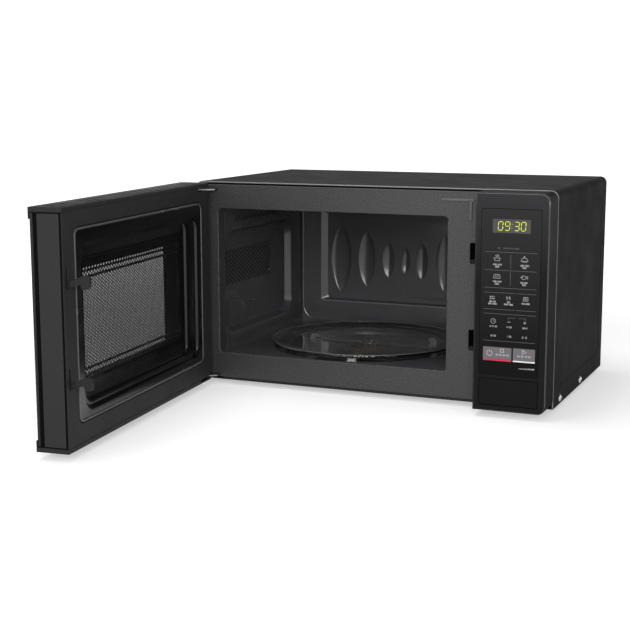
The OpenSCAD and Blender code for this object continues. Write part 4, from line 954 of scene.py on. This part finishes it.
    def hollow(self, shape, cx, cz, wide, high, power, y, deep=3.0, rows=28, columns=24):
        """Lens-shaped hollow drawn into the back; gives its outline."""
        grid = []
        for j in range(rows + 1):
            v = -high * math.cos(math.pi * j / rows)
            half = wide * max(0.0, 1 - (v / high) ** 2) ** 0.72
            sink = deep * (1 - abs(v / high) ** 2.5)
            across = [2 * i / columns - 1 for i in range(columns + 1)]
            grid.append([(cx + u * half, y + sink * (1 - abs(u) ** power), cz + v) for u in across])
        (bottom, *_), *lines, (top, *_) = grid
        rings = shape.stack(lines, closed=False)
        for tip, ring in ((bottom, rings[0]), (top, rings[-1])):
            point = shape.ring([tip])[0]
            for a, b in zip(ring, ring[1:]):
                shape.face((point, a, b))
        left, right = ([line[i] for line in lines] for i in (0, -1))
        return shape.ring([bottom, *right, top, *reversed(left)])

    def floor(self):
        """Floor with a raised lip round the well, and the well with its own rings."""
        shape = Shape()
        low, high = limits("glass_tray")
        centre = ((low.x + high.x) / 2, (low.y + high.y) / 2)
        well = (high.x - low.x) / 2 - 4.5
        bottom = limits("cavity_floor")[0].z + SHEET
        z = self.z[0]
        outer = shape.ring(on_z(rectangle(self.x, self.y), z))
        lip = ((5.2, 0), (4.4, 0.35), (3.2, 0.5), (1.8, 0.35), (0.6, -0.3), (0.1, -1.2), (0, -2.4))
        base = (
            (0, 2.6), (-0.6, 0.9), (-2.4, 0), (-16, 0), (-17.5, 0.45), (-28, 0.45), (-29.5, 0),
            (12 - well, 0), (8 - well, 0.1),
        )
        profile = [(well + r, z + h) for r, h in lip] + [(well + r, bottom + h) for r, h in base]
        rings = shape.stack([circle(r, h, centre, 128) for r, h in profile])
        shape.fill(outer, [rings[0]])
        shape.build(
            "oven_floor", ["cavity_enamel"], "cabinet", ["cavity_floor"], "cavity_enamel",
            toward=UPWARD, sharp=28,
        )


class MICROWAVE_OT_turntable(bpy.types.Operator):
    """Glass tray, roller ring, rollers and coupler"""

    bl_idname = "microwave.turntable"
    bl_label = "Turntable"

    THICK = 3.6
    ROUND = 160  # points round the tray
    # Distance in from the tray's edge and height: above, from the flat to the rim and down its
    # outside, measured from the rim; below, from the underside
    RIM = (
        (8, -2.0), (5, -0.7), (3, -0.12), (1.6, 0), (0.5, -0.5), (0, -1.5), (0.5, -2.9),
        (3, -4.0), (10, -6.4),
    )
    UNDER = ((18, 1.1), (25, 0.1), (34, 0))

    def execute(self, context):
        low, high = limits("glass_tray")
        centre = ((low.x + high.x) / 2, (low.y + high.y) / 2)
        radius = (high.x - low.x) / 2
        base, rim = low.z + self.THICK, high.z
        flat = base + self.THICK
        line = [(0.4, flat), (40, flat), (70, flat), (radius - 30, flat)]
        line += [(radius - 22, base + 3.9), (radius - 15, base + 5.5)]
        line += [(radius - a, rim + h) for a, h in self.RIM]
        line += [(radius - a, base + h) for a, h in self.UNDER] + [(40, base), (0.4, base)]
        shape = Shape()
        loops = [circle(max(p.x, 0.3), p.y, centre, self.ROUND) for p in flowing(line, 4)]
        rings = shape.stack(loops)
        shape.fill(rings[0])
        shape.fill(rings[-1])
        stub = ((3, base + 0.2), (3, low.z + 0.6), (2.4, low.z), (0.3, low.z))
        for foot in arc(centre, 12, 60, 420, 3):
            rings = shape.stack([circle(r, h, foot, 24) for r, h in stub])
            shape.fill(rings[-1])
            shape.fill(rings[0])
        shape.build("tray", ["tray_glass"], "tray", ["glass_tray"], "tray_glass", sharp=60)
        # pale bead round the tray's rim: painted highlight
        ring = Shape()
        bead = [*arc((radius - 1.4, rim - 0.1), 0.55, count=8), (radius - 0.85, rim - 0.1)]
        ring.stack([circle(r, h, centre, self.ROUND) for r, h in bead])
        ring.build("tray_rim", ["painted_rim_highlight"], "tray", sharp=60)
        dress("ring_plastic", 0.5, "roller_ring")
        dress("roller_plastic", 0.4, "roller_1", "roller_2", "roller_3")
        dress("coupler_plastic", 0.4, "turntable_coupler")
        dress("tt_motor", 0.4, "turntable_motor")
        return {"FINISHED"}


# ---- door ----


class MICROWAVE_OT_door(bpy.types.Operator):
    """Door frame, its trims and the smoked glass with its printed border"""

    bl_idname = "microwave.door"
    bl_label = "Door frame and glass"

    def execute(self, context):
        dress("door_plastic", context.scene.microwave_sizes.moulded_edge / MM, "door_frame")
        dress("trim_plastic", 0.5, "door_trim_top", "door_trim_bottom")
        low, high = shut_limits("door_glass")
        dish_low, dish_high = shut_limits("door_dish")
        x, z = (low.x, high.x), (low.z, high.z)
        window = rounded(
            (dish_low.x + 35.4, dish_high.x - 34.4), (dish_low.z + 30.4, dish_high.z - 35.9), 4, 4
        )
        shape = Shape()
        turn = low.y + 0.5  # where the glass's front edge ends
        front = shape.stack([upright(x, z, by, 1.5, y, 3) for by, y in ((0.5, low.y), (0, turn))])
        clear_front = shape.ring(on_y(window, low.y))
        shape.fill(front[0], [clear_front], 2)
        shape.fill(clear_front)
        sides = ((0, turn), (0, high.y - 0.5), (0.5, high.y))
        rim = shape.stack([upright(x, z, by, 1.5, y, 3) for by, y in sides], 1)
        view = shape.ring(on_y(window, high.y))
        shape.fill(rim[-1], [view], 1)
        shape.fill(view)
        finishes = ("door_glass", "glass_print", "glass_black")
        shape.build("door_pane", finishes, "door", ["door_glass"], "door_glass")
        self.seal(high.y)
        self.grooves(high.y)
        return {"FINISHED"}

    def grooves(self, glass):
        """Black strips painted as the shadow in the grooves between the frame and its trims."""
        low, high = shut_limits("door_frame")
        top = shut_limits("door_trim_top")[1].z
        face, side = high.y, high.x
        # distance that a groove is sunk in and stands out
        sunk, out = 1.0, 0.04
        shape = Shape()
        for front, a, b in (
            (face - 3.0, low.z + 1.0, high.z - 1.0),
            (glass + 5.5, low.z + 0.1, low.z + 1.3),
            (glass + 5.5, high.z - 1.3, high.z - 0.1),
        ):
            shape.box((side - sunk, front, a), (side + out, face - 0.6, b))
        for a, b in ((1.4, 6.0), (10.5, 14.5)):
            shape.box((low.x + 12.0, face - b, top - sunk), (side - 3.0, face - a, top + out))
        shape.build("door_grooves", ["painted_shadow_black"], "door")

    def seal(self, glass):
        """Black strip in the groove between the glass and the frame: painted shadow of the groove."""
        low, high = shut_limits("door_frame")
        edge = high.x - 1.5
        angles = [math.radians(15 + 15 * k) for k in range(11)]
        bulge = [(edge + 0.7 * math.sin(t), glass + 2.5 - 2.3 * math.cos(t)) for t in angles]
        profile = [(edge, glass + 0.1), *bulge, (edge, glass + 4.9)]
        shape = Shape()
        shape.stack([on_z(profile, z) for z in (low.z + 0.5, high.z - 0.5)], closed=False)
        shape.build("door_groove_painted_shadow", ["painted_shadow_black"], "door", toward=(1, 0, 0))


class MICROWAVE_OT_door_dish(bpy.types.Operator):
    """Glossy stepped dish, clear film and perforated screen inside the door"""

    bl_idname = "microwave.door_dish"
    bl_label = "Door dish and screen"

    # Bead round the dish: insets at the hinge side and elsewhere, corner radius, share of height
    BEAD = (
        (1.15, 1.35, 8.2, 0.7), (1.2, 1.8, 7.9, 1.0), (1.3, 2.5, 7.4, 0.85), (1.45, 3.1, 7.0, 0.3),
    )
    # Then insets at the hinge side, the latch side, the bottom and the top, radius and depth
    STEPS = (
        (1.7, 3.6, 3.6, 3.6, 7.0, 0.35),
        (2.1, 4.1, 4.1, 4.1, 7.0, 0.42),
        # outer shelf, and the wall down from it
        (12.5, 13.2, 9.3, 16.4, 14.0, 0.45),
        (13.0, 13.8, 9.8, 17.0, 14.0, 0.6),
        (13.8, 14.8, 10.8, 18.2, 14.0, 1.1),
        (14.2, 15.2, 11.6, 19.0, 13.8, 2.0),
        (14.6, 15.6, 12.6, 19.4, 13.6, 3.2),
        (15.4, 16.4, 13.6, 20.0, 13.0, 3.7),
        (16.0, 16.8, 14.0, 20.1, 13.0, 3.75),
        # inner shelf, wide at the hinge side, and the wall down from it
        (37.4, 19.5, 16.5, 20.5, 12.0, 3.8),
        (38.0, 20.0, 17.0, 20.6, 12.0, 4.0),
        (38.8, 20.6, 17.8, 21.0, 12.0, 4.3),
        (39.3, 21.0, 18.6, 21.4, 11.8, 5.2),
        (39.7, 21.4, 19.6, 21.8, 11.4, 6.3),
        (40.6, 22.2, 20.8, 22.6, 11.0, 6.8),
        (41.2, 22.8, 21.4, 23.2, 10.6, 6.9),
        # sloping floor round the screen
        (45.0, 26.0, 27.0, 28.0, 8.0, 7.6),
        (48.0, 30.0, 32.0, 33.0, 5.0, 8.35),
    )

    def execute(self, context):
        sizes = context.scene.microwave_sizes
        low, high = shut_limits("door_dish")
        x, z = (low.x - 0.6, high.x + 0.6), (low.z - 0.6, high.z + 0.6)
        face = shut_limits("door_frame")[1].y
        deep = low.y + 1.2
        bead = sizes.dish_bead / MM
        view = ((x[0] + 50, x[1] - 32), (z[0] + 37, z[1] - 36.5))
        rows = [(1.1, 1.1, 1.1, 1.1, 8.4, 3.0), (1.1, 1.1, 1.1, 1.1, 8.4, 0.1)]
        rows += [(hinge, *[by] * 3, r, -bead * share) for hinge, by, r, share in self.BEAD]
        loops = []
        for hinge, latch, bottom, top, r, depth in (*rows, *self.STEPS):
            # where it is deeper than the bead, the lower corner at the latch side is rounder
            radii = [r + 4.0 if depth > 0.44 else r, r, r, r]
            a, b = (x[0] + hinge, x[1] - latch), (z[0] + bottom, z[1] - top)
            loops.append(on_y(rounded(a, b, radii, 12), face - depth))
        shape = Shape()
        # the bead round the dish, painted grey as a highlight
        shape.stack(loops[:7], 1)
        rings = shape.stack(loops[6:])
        window, edge = (shape.ring(upright(*view, 0, 3, deep - d, 3)) for d in (0, 1.2))
        shape.fill(rings[-1], [window])
        shape.bridge(window, edge)
        shape.build(
            "door_inner_dish", ("dish_plastic", "dish_bead"), "door", ["door_dish"],
            "dish_plastic", toward=(0, 1, 0), sharp=50,
        )
        dress("film_plastic", 0, "door_film")
        self.screen(sizes, view)
        return {"FINISHED"}

    def screen(self, sizes, view):
        """Steel sheet with rows of holes in front, and its folded edges behind."""
        low, high = shut_limits("door_screen")
        shape = Shape()
        y = high.y
        a, bottom, top = (view[0][0] + 4, view[0][1] - 1), view[1][0] + 3, view[1][1] - 8
        x, z = (low.x, high.x), (low.z, high.z)
        fold = ((0, 1.5, low.y), (0, 1.5, y - 0.6), (0.6, 1.2, y))
        rings = shape.stack([upright(x, z, by, r, depth, 3) for by, r, depth in fold])
        shape.fill(rings[-1], [shape.ring(on_y(rectangle(a, (bottom, top)), y))])
        pitch, size = sizes.hole_pitch / MM, sizes.hole_size / MM
        wide = a[1] - a[0]
        columns = max(1, round(wide / (pitch * 1.732)))  # one over every second of the field
        # a row, a plain strip, two rows, a plain strip, then the field; mirrored at the bottom
        levels = [0.0, 0.85 * pitch, 0.85 * pitch + 1, 2.35 * pitch + 1, 2.35 * pitch + 2]
        for sign, start in ((1, bottom), (-1, top)):
            cuts = [start + sign * v for v in levels]
            perforate(
                shape, (a[0], a[0] + wide * (1 + 0.5 / columns)), sorted(cuts[:2]),
                wide / columns, size, lambda u, v: (min(u, a[1]), y, v),
            )
            for strip in (cuts[1:3], cuts[3:]):
                shape.patch(on_y(rectangle(a, strip), y))
            perforate(shape, sorted(cuts[2:4]), a, pitch, size, lambda u, v: (v, y, u))
        field = (bottom + levels[-1], top - levels[-1])
        perforate(shape, field, a, pitch, size, lambda u, v: (v, y, u))
        screen = shape.build(
            "door_perforated_screen", ["screen_enamel"], "door", ["door_screen"],
            "screen_enamel", toward=(0, 1, 0),
        )
        sheet = screen.modifiers.new("Sheet thickness", "SOLIDIFY")
        sheet.thickness = 0.25 * MM
        sheet.offset = -1.0


class MICROWAVE_OT_latch(bpy.types.Operator):
    """Latch hooks, springs, release slider, latch board and interlock switches"""

    bl_idname = "microwave.latch"
    bl_label = "Latch"

    def execute(self, context):
        dress("hook_plastic", 0.4, "latch_hooks")
        dress("spring_steel", 0, "latch_spring", "button_spring")
        dress("slider_plastic", 0.4, "release_slider")
        dress("latch_plastic", 0.3, "latch_board")
        dress("switch_black", 0.3, "interlock_switches")
        return {"FINISHED"}


# ---- control panel ----


class MICROWAVE_OT_control_panel(bpy.types.Operator):
    """Control panel moulding, keypad overlay, clock window and door button"""

    bl_idname = "microwave.control_panel"
    bl_label = "Control panel"

    def execute(self, context):
        dress("bezel_plastic", 0.5, "control_bezel")
        dress("overlay_film", 0.15, "keypad_overlay")
        dress("window_plastic", 0.2, "display_window")
        dress("button_plastic", 0.5, "door_button")
        # band round the front edge of the panel, a little proud of it, painted pale as a highlight
        quarter = arc((1.2, 1.2), -1.25, 0, 90, 5)
        self.band("control_bezel", "panel_painted_highlight_band", "bezel_edge_painted_highlight", quarter, 12, 60)
        # shadow gap round the keypad
        gap = ((-0.25, -0.03), (0.35, -0.03))
        self.band("keypad_overlay", "keypad_outline", "painted_shadow_black", gap, 6, 35)
        return {"FINISHED"}

    def band(self, node, name, finish, profile, steps, sharp):
        """Band round the front of a node, through insets and depths."""
        low, high = limits(node)
        x, z = (low.x, high.x), (low.z, high.z)
        loops = []
        for by, depth in profile:
            radii = [9.0 - by, 9.0 - by, 0.3, 0.3] if finish == "bezel_edge_painted_highlight" else 2.5 - by
            loops.append(upright(x, z, by, radii, low.y + depth, steps))
        shape = Shape()
        shape.stack(loops)
        shape.build(name, [finish], "cabinet", toward=FRONT, sharp=sharp)


# Bars of a figure one wide and two high, from the top round clockwise, then the middle one
FIGURE_BARS = (
    ((0, 2), (1, 2)), ((1, 2), (1, 1)), ((1, 1), (1, 0)), ((1, 0), (0, 0)), ((0, 0), (0, 1)),
    ((0, 1), (0, 2)), ((0, 1), (1, 1)),
)
FIGURES = {
    "-": "6", ":": "", "0": "012345", "1": "12", "2": "01643", "3": "01623", "4": "5612",
    "5": "05623", "6": "054326", "7": "012", "8": "0123456", "9": "650123",
}


class MICROWAVE_OT_keypad_print(bpy.types.Operator):
    """Pictograms, numbers and key fields printed on the keypad, and the digits of the clock"""

    bl_idname = "microwave.keypad_print"
    bl_label = "Keypad print and clock"

    INKS = ("print_ink", "print_line", "key_ink", "stop_ink", "start_ink")
    GREY, DIM, KEY, STOP, START = range(5)
    SIDES = (-29.3, 29.7)  # ends of the long rules
    SPOT = 0.05  # how far the ink stands off the keypad
    # Rows of small numbers: place, then texts from the top
    LABELS = (
        (-15.2, 124.2, "1200-2500", "3000"), (15.6, 124.2, "1300-3500", "4000"),
        (-15.2, 105.2, "1400-4500", "5000"), (15.5, 105.2, "200-600", "7000"),
        (-20.0, 82.6, "100-200", "1000-2000"), (-1.5, 82.6, "300", "3000-4000"),
        (18.0, 82.0, "500-8000"), (-18.3, 54.6, "12-24-00"), (0.0, 54.6, "0-500"),
        (17.8, 54.6, "500-9"),
    )

    def execute(self, context):
        sizes = context.scene.microwave_sizes
        low, high = limits("keypad_overlay")
        self.x, self.z = (low.x + high.x) / 2, low.z
        self.y = low.y - self.SPOT
        self.line = sizes.print_line / MM
        self.clock(sizes.digit_height / MM)
        self.shape = Shape()
        self.rules()
        self.pictograms()
        self.keys()
        self.shape.build("keypad_print", self.INKS, "cabinet", toward=FRONT)
        return {"FINISHED"}

    def clock(self, tall):
        """Clock reading of seven-bar figures, leaning a little."""
        low, high = limits("display_window")
        wide, thick, lean = tall * 0.5, tall * 0.062, 0.07
        base = (low.z + high.z) / 2 - tall / 2 + thick / 2
        start = (low.x + high.x) / 2 - tall * 1.52
        y = low.y - 0.06
        bar = tall / 2 - thick / 2
        shape = Shape()
        for figure, offset in zip("0930", (0.0, 0.77, 1.84, 2.58)):
            for k in FIGURES[figure]:
                p, q = (Vector((a * wide, b * bar)) for a, b in FIGURE_BARS[int(k)])
                along = (q - p).normalized()
                across = Vector((-along.y, along.x)) * thick / 2
                p, q = p + along * thick * 0.75, q - along * thick * 0.75
                tip = along * thick / 2
                points = [p, p + tip + across, q - tip + across]
                points += [q, q - tip - across, p + tip - across]
                left = start + offset * tall
                shape.patch([(left + v.x + lean * v.y, y, base + v.y) for v in points])
        for up in (0.3 * tall, 0.68 * tall):
            middle = (start + tall * 1.53 + lean * up, base + up)
            shape.patch(on_y(arc(middle, thick * 0.42, count=10), y))
        shape.build("clock_digits", ["digits"], "cabinet", toward=FRONT)

    def pen(self, points, width=None, mark=0, closed=False, at=(0, 0)):
        """Line on the keypad, measured from the middle of its lower edge and from at."""
        line = [(self.x + at[0] + a, self.z + at[1] + b) for a, b in points]
        stroke(self.shape, line, width or self.line, self.y, mark, closed)

    def number(self, text, x, z, tall, mark=0):
        """Plain number of thin bars, centred on x."""
        wide, gap = tall * 0.46, tall * 0.26
        step = wide + gap
        left = x - (len(text) * step - gap) / 2
        for i, figure in enumerate(text):
            at = (left + i * step, z)
            if figure == ":":
                for up in (0.25 * tall, 0.75 * tall):
                    self.pen([(0.1 * step, up), (0.35 * step, up)], 0.3, mark, at=at)
            for k in FIGURES[figure]:
                bar = [(u * wide, v * tall / 2) for u, v in FIGURE_BARS[int(k)]]
                self.pen(bar, 0.27, mark, at=at)

    def rules(self):
        """Thin lines between the groups of keys."""
        a, b = self.SIDES
        lines = [[(a, z), (b, z)] for z in (139.0, 118.7, 99.0, 69.7, 39.1)]
        lines += [[(u, z), (v, z)] for z in (93.6, 74.8) for u, v in ((a, 5.9), (7.6, b))]
        lines += [[(0.2, low), (0.2, high)] for low, high in ((101.5, 117.0), (120.5, 136.5))]
        lines += [[(u, 63.4), (u, 66.0), (v, 66.0)] for u, v in ((-1.2, 6.8), (18.6, 10.6))]
        for line in lines:
            self.pen(line, mark=self.DIM)

    def pictograms(self):
        """Own plain kitchen signs, and the small numbers under them."""
        squares = [[(k, 3.2), (k - 0.8, 1.7), (k, 1.0), (k + 0.8, 1.7)] for k in (-1.5, 1.5)]
        drops = ((-2, 0), (0, 0), (2, 0), (-2, 2.2), (0, 2.2))
        fish = [(-3.6, 0), (-1.6, 1.9), (0.8, 1.9), (2.6, 0), (4.2, 1.7), (4.2, -1.7), (2.6, 0)]
        loaf = [(-3.6, 0), (-3.6, 2.8), (-2.6, 4.2), (2.6, 4.2), (3.6, 2.8), (3.6, 0)]
        # place, closed lines, open lines
        for at, closed, free in (
            # pot with steam
            ((-15.2, 129.2), [[(-3, 3), (-2.6, 0), (2.6, 0), (3, 3)]],
             [[(k, 4), (k + 0.4, 5), (k - 0.2, 6), (k + 0.2, 6.9)] for k in (-1.5, 0, 1.5)]
             + [[(k * 4.2, 2.6), (k * 3, 2.6)] for k in (-1, 1)]),
            # covered plate
            ((15.6, 129.4), [arc((0, 5.2), 0.7, count=8)],
             [arc((0, 0.8), 3.6, 0, 180, 14), [(-4.4, 0.6), (4.4, 0.6)], [(-2.6, -0.4), (2.6, -0.4)]]),
            # loaf with cuts
            ((-15.2, 109.8), [loaf], [[(k - 0.4, 1.2), (k + 0.4, 3.2)] for k in (-1.6, 0, 1.6)]),
            # fish
            ((15.5, 111.8), [[*fish, (0.8, -1.9), (-1.6, -1.9)], arc((-1.7, 0.5), 0.35, count=8)], []),
            # drops, flames and a shelf for the three thawing and heating keys
            ((-20.0, 86.6), [arc(p, 0.55, count=8) for p in drops], [[(1.4, 3.0), (3.2, 1.9)]]),
            ((-1.5, 86.6), squares, [[(k - 0.8, -0.2), (k + 0.8, -0.2)] for k in (-1.5, 1.5)]),
            ((18.0, 86.6), [rectangle((-2.6, 2.6), (-0.6, 3.4))],
             [[(-1.5, k), (-0.5, k + 0.4), (0.5, k), (1.5, k + 0.4)] for k in (0.6, 1.8)]),
            # clock
            ((-18.3, 61.3), [arc((0, 0), 2.7, count=24)], [[(0, 1.8), (0, 0), (1.2, -0.5)]]),
        ):
            for line in closed:
                self.pen(line, closed=True, at=at)
            for line in free:
                self.pen(line, at=at)
        # less and more
        for line in ([(-1.9, 0), (1.5, 0)], [(16.0, 0), (19.2, 0)], [(17.6, -1.6), (17.6, 1.6)]):
            self.pen(line, 0.45, at=(0, 61.3))
        for x, z, *rows in self.LABELS:
            for k, text in enumerate(rows):
                self.number(text, x, z - 2.5 * k, 1.6)
        for x, text in ((-18.4, "10:00"), (0.0, "1:00"), (17.7, "0:10")):
            self.number(text, x, 43.9, 1.9)
        self.number("1-2-3-4-5-6-7-8-9", 0.0, 142.6, 1.5, self.DIM)
        self.pen(arc((-13.6, 143.3), 1.0, count=12), mark=self.DIM, closed=True)

    def keys(self):
        """Stop and start keys with their coloured strips, and a row of rising bars under them."""
        stop, start = (-29.3, 3.3), (5.1, 30.0)
        for x, z, mark in (
            (stop, (18.1, 31.9), self.KEY), (start, (18.3, 32.1), self.KEY),
            (stop, (16.4, 17.9), self.STOP), (start, (16.6, 18.1), self.START),
        ):
            a, b = [self.x + v for v in x], [self.z + v for v in z]
            self.shape.patch(on_y(rounded(a, b, 0.4, 3), self.y), mark)
        self.y -= 0.03  # printed over the fields
        self.pen(arc((-22.0, 25.0), 3.0, 120, 420, 20), 0.5)
        self.pen([(-22.0, 25.6), (-22.0, 29.0)], 0.5)
        self.pen(rectangle((-9.4, -5.8), (26.6, 30.2)), 0.5, closed=True)
        self.pen([(15.6, 26.2), (20.0, 28.4), (15.6, 30.6)], 0.5, closed=True)
        self.number("00:00-00:00", -7.2, 22.4, 1.9)
        self.number("00:30-10:00", 17.6, 22.4, 1.9)
        self.y += 0.03
        for k in range(12):
            x = 12.5 + 1.5 * k
            self.pen([(x, 8.8), (x, 9.7 + 0.08 * k)], 0.7)


# ---- hinges, screws and works ----


class MICROWAVE_OT_hardware(bpy.types.Operator):
    """Hinges, hinge pins, and the case screws with their cross recesses"""

    bl_idname = "microwave.hardware"
    bl_label = "Hinges and screws"

    HEAD, DOME = 4.2, 5.6  # radius of a screw's head, and of the ball that it is part of
    TALL = 3.0  # height of a head in the CAD
    SLOT, REACH = 0.62, 2.4  # half width and half length of the cross recess
    ROUND = 64  # points round a head

    def execute(self, context):
        dress("hinge_steel", 0.2, "upper_hinge", "lower_hinge", "hinge_pins")
        shape = Shape()
        for low, high in self.solids():
            middle = (low + high) / 2
            if abs(middle.x) > CAD_BOX[1][0] / MM - 15:
                sign = 1 if middle.x > 0 else -1
                middle.x = (high.x if sign > 0 else low.x) - self.TALL * sign
                self.screw(shape, middle, Vector((sign, 0, 0)), Vector((0, 1, 0)))
            else:
                middle.y = high.y - self.TALL
                self.screw(shape, middle, Vector((0, 1, 0)), Vector((1, 0, 0)))
        shape.build(
            "case_screws_crossed", ["screw_steel"], "cabinet", ["case_screws"], "screw_steel",
            sharp=40,
        )
        return {"FINISHED"}

    def solids(self):
        """Limits of each separate solid of the CAD's screws."""
        work = bmesh.new()
        work.from_mesh(frame["nodes"]["case_screws"].data)
        bmesh.ops.remove_doubles(work, verts=work.verts, dist=MERGE / 10)
        left, found = set(work.verts), []
        while left:
            group, edge = set(), [left.pop()]
            while edge:
                vert = edge.pop()
                group.add(vert)
                near = {link.other_vert(vert) for link in vert.link_edges} & left
                left -= near
                edge += near
            found.append(spread([v.co / MM for v in group]))
        work.free()
        return found

    def screw(self, shape, seat, out, side):
        """Domed head with a cross recess, and its shank."""
        up = Vector(UPWARD)
        rings = []
        for radius in (0.02, *(self.HEAD * k / 16 for k in range(1, 17))):
            ring = []
            for u, v in arc((0, 0), radius, count=self.ROUND):
                height = math.sqrt(self.DOME**2 - radius**2) - 2.6
                narrow, far = sorted((abs(u), abs(v)))
                if narrow < self.SLOT and far < self.REACH:
                    height -= 1.3 * min(1, (self.REACH - far) / 0.9)
                ring.append(seat + out * height + side * u + up * v)
            rings.append(ring)
        for radius, height in ((self.HEAD, 0.0), (1.7, 0.0), (1.7, -3.0), (1.2, -4.0)):
            circle_points = arc((0, 0), radius, count=self.ROUND)
            rings.append([seat + out * height + side * u + up * v for u, v in circle_points])
        made = shape.stack(rings)
        shape.fill(made[0])
        shape.fill(made[-1])


class MICROWAVE_OT_works(bpy.types.Operator):
    """Magnetron, high-voltage supply, fan, lamp, boards and switches inside the case"""

    bl_idname = "microwave.works"
    bl_label = "Works"

    def execute(self, context):
        for finish, *nodes in (
            ("guide_steel", "waveguide"),
            ("yoke_steel", "magnetron_frame"),
            ("ceramic", "magnetron_tube"),
            ("fin_aluminium", "magnetron_fins"),
            ("core_steel", "transformer_core"),
            ("copper_coil", "transformer_coils"),
            ("can_aluminium", "capacitor"),
            ("strap_steel", "capacitor_strap"),
            ("diode_epoxy", "hv_diode"),
            ("fan_plastic", "fan_housing", "fan_wheel"),
            ("motor_steel", "fan_motor"),
            ("lamp_glass", "cavity_lamp"),
            ("holder_plastic", "lamp_holder"),
            ("cutout_black", "thermal_cutouts"),
            ("board_green", "filter_board", "control_board"),
            ("fuse_ceramic", "mains_fuse"),
            ("display_glass", "display_module"),
            ("relay_blue", "relays"),
            ("winding_tape", "standby_transformer"),
        ):
            dress(finish, 0, *nodes)
        return {"FINISHED"}


PIECES = (
    MICROWAVE_OT_stage,
    MICROWAVE_OT_case,
    MICROWAVE_OT_front_plate,
    MICROWAVE_OT_cavity,
    MICROWAVE_OT_turntable,
    MICROWAVE_OT_door,
    MICROWAVE_OT_door_dish,
    MICROWAVE_OT_latch,
    MICROWAVE_OT_control_panel,
    MICROWAVE_OT_keypad_print,
    MICROWAVE_OT_hardware,
    MICROWAVE_OT_works,
)


class MICROWAVE_PT_panel(bpy.types.Panel):
    """Pieces, sizes and colours of the microwave oven"""

    bl_idname = "MICROWAVE_PT_panel"
    bl_label = "Microwave oven"
    bl_space_type = "VIEW_3D"
    bl_region_type = "UI"
    bl_category = "Microwave"

    def draw(self, context):
        column = self.layout.column()
        for group in (context.scene.microwave_sizes, context.scene.microwave_colours):
            for name in group.bl_rna.properties.keys():
                if name not in ("rna_type", "name"):
                    column.prop(group, name)
        for piece in PIECES:
            column.operator(piece.bl_idname)


CLASSES = (MicrowaveSizes, MicrowaveColours, *PIECES, MICROWAVE_PT_panel)


def register():
    for kind in CLASSES:
        bpy.utils.register_class(kind)
    bpy.types.Scene.microwave_sizes = bpy.props.PointerProperty(type=MicrowaveSizes)
    bpy.types.Scene.microwave_colours = bpy.props.PointerProperty(type=MicrowaveColours)


def unregister():
    del bpy.types.Scene.microwave_colours
    del bpy.types.Scene.microwave_sizes
    for kind in reversed(CLASSES):
        bpy.utils.unregister_class(kind)


def main():
    register()
    for piece in PIECES:
        group, name = piece.bl_idname.split(".")
        getattr(getattr(bpy.ops, group), name)()


if __name__ == "__main__":
    main()
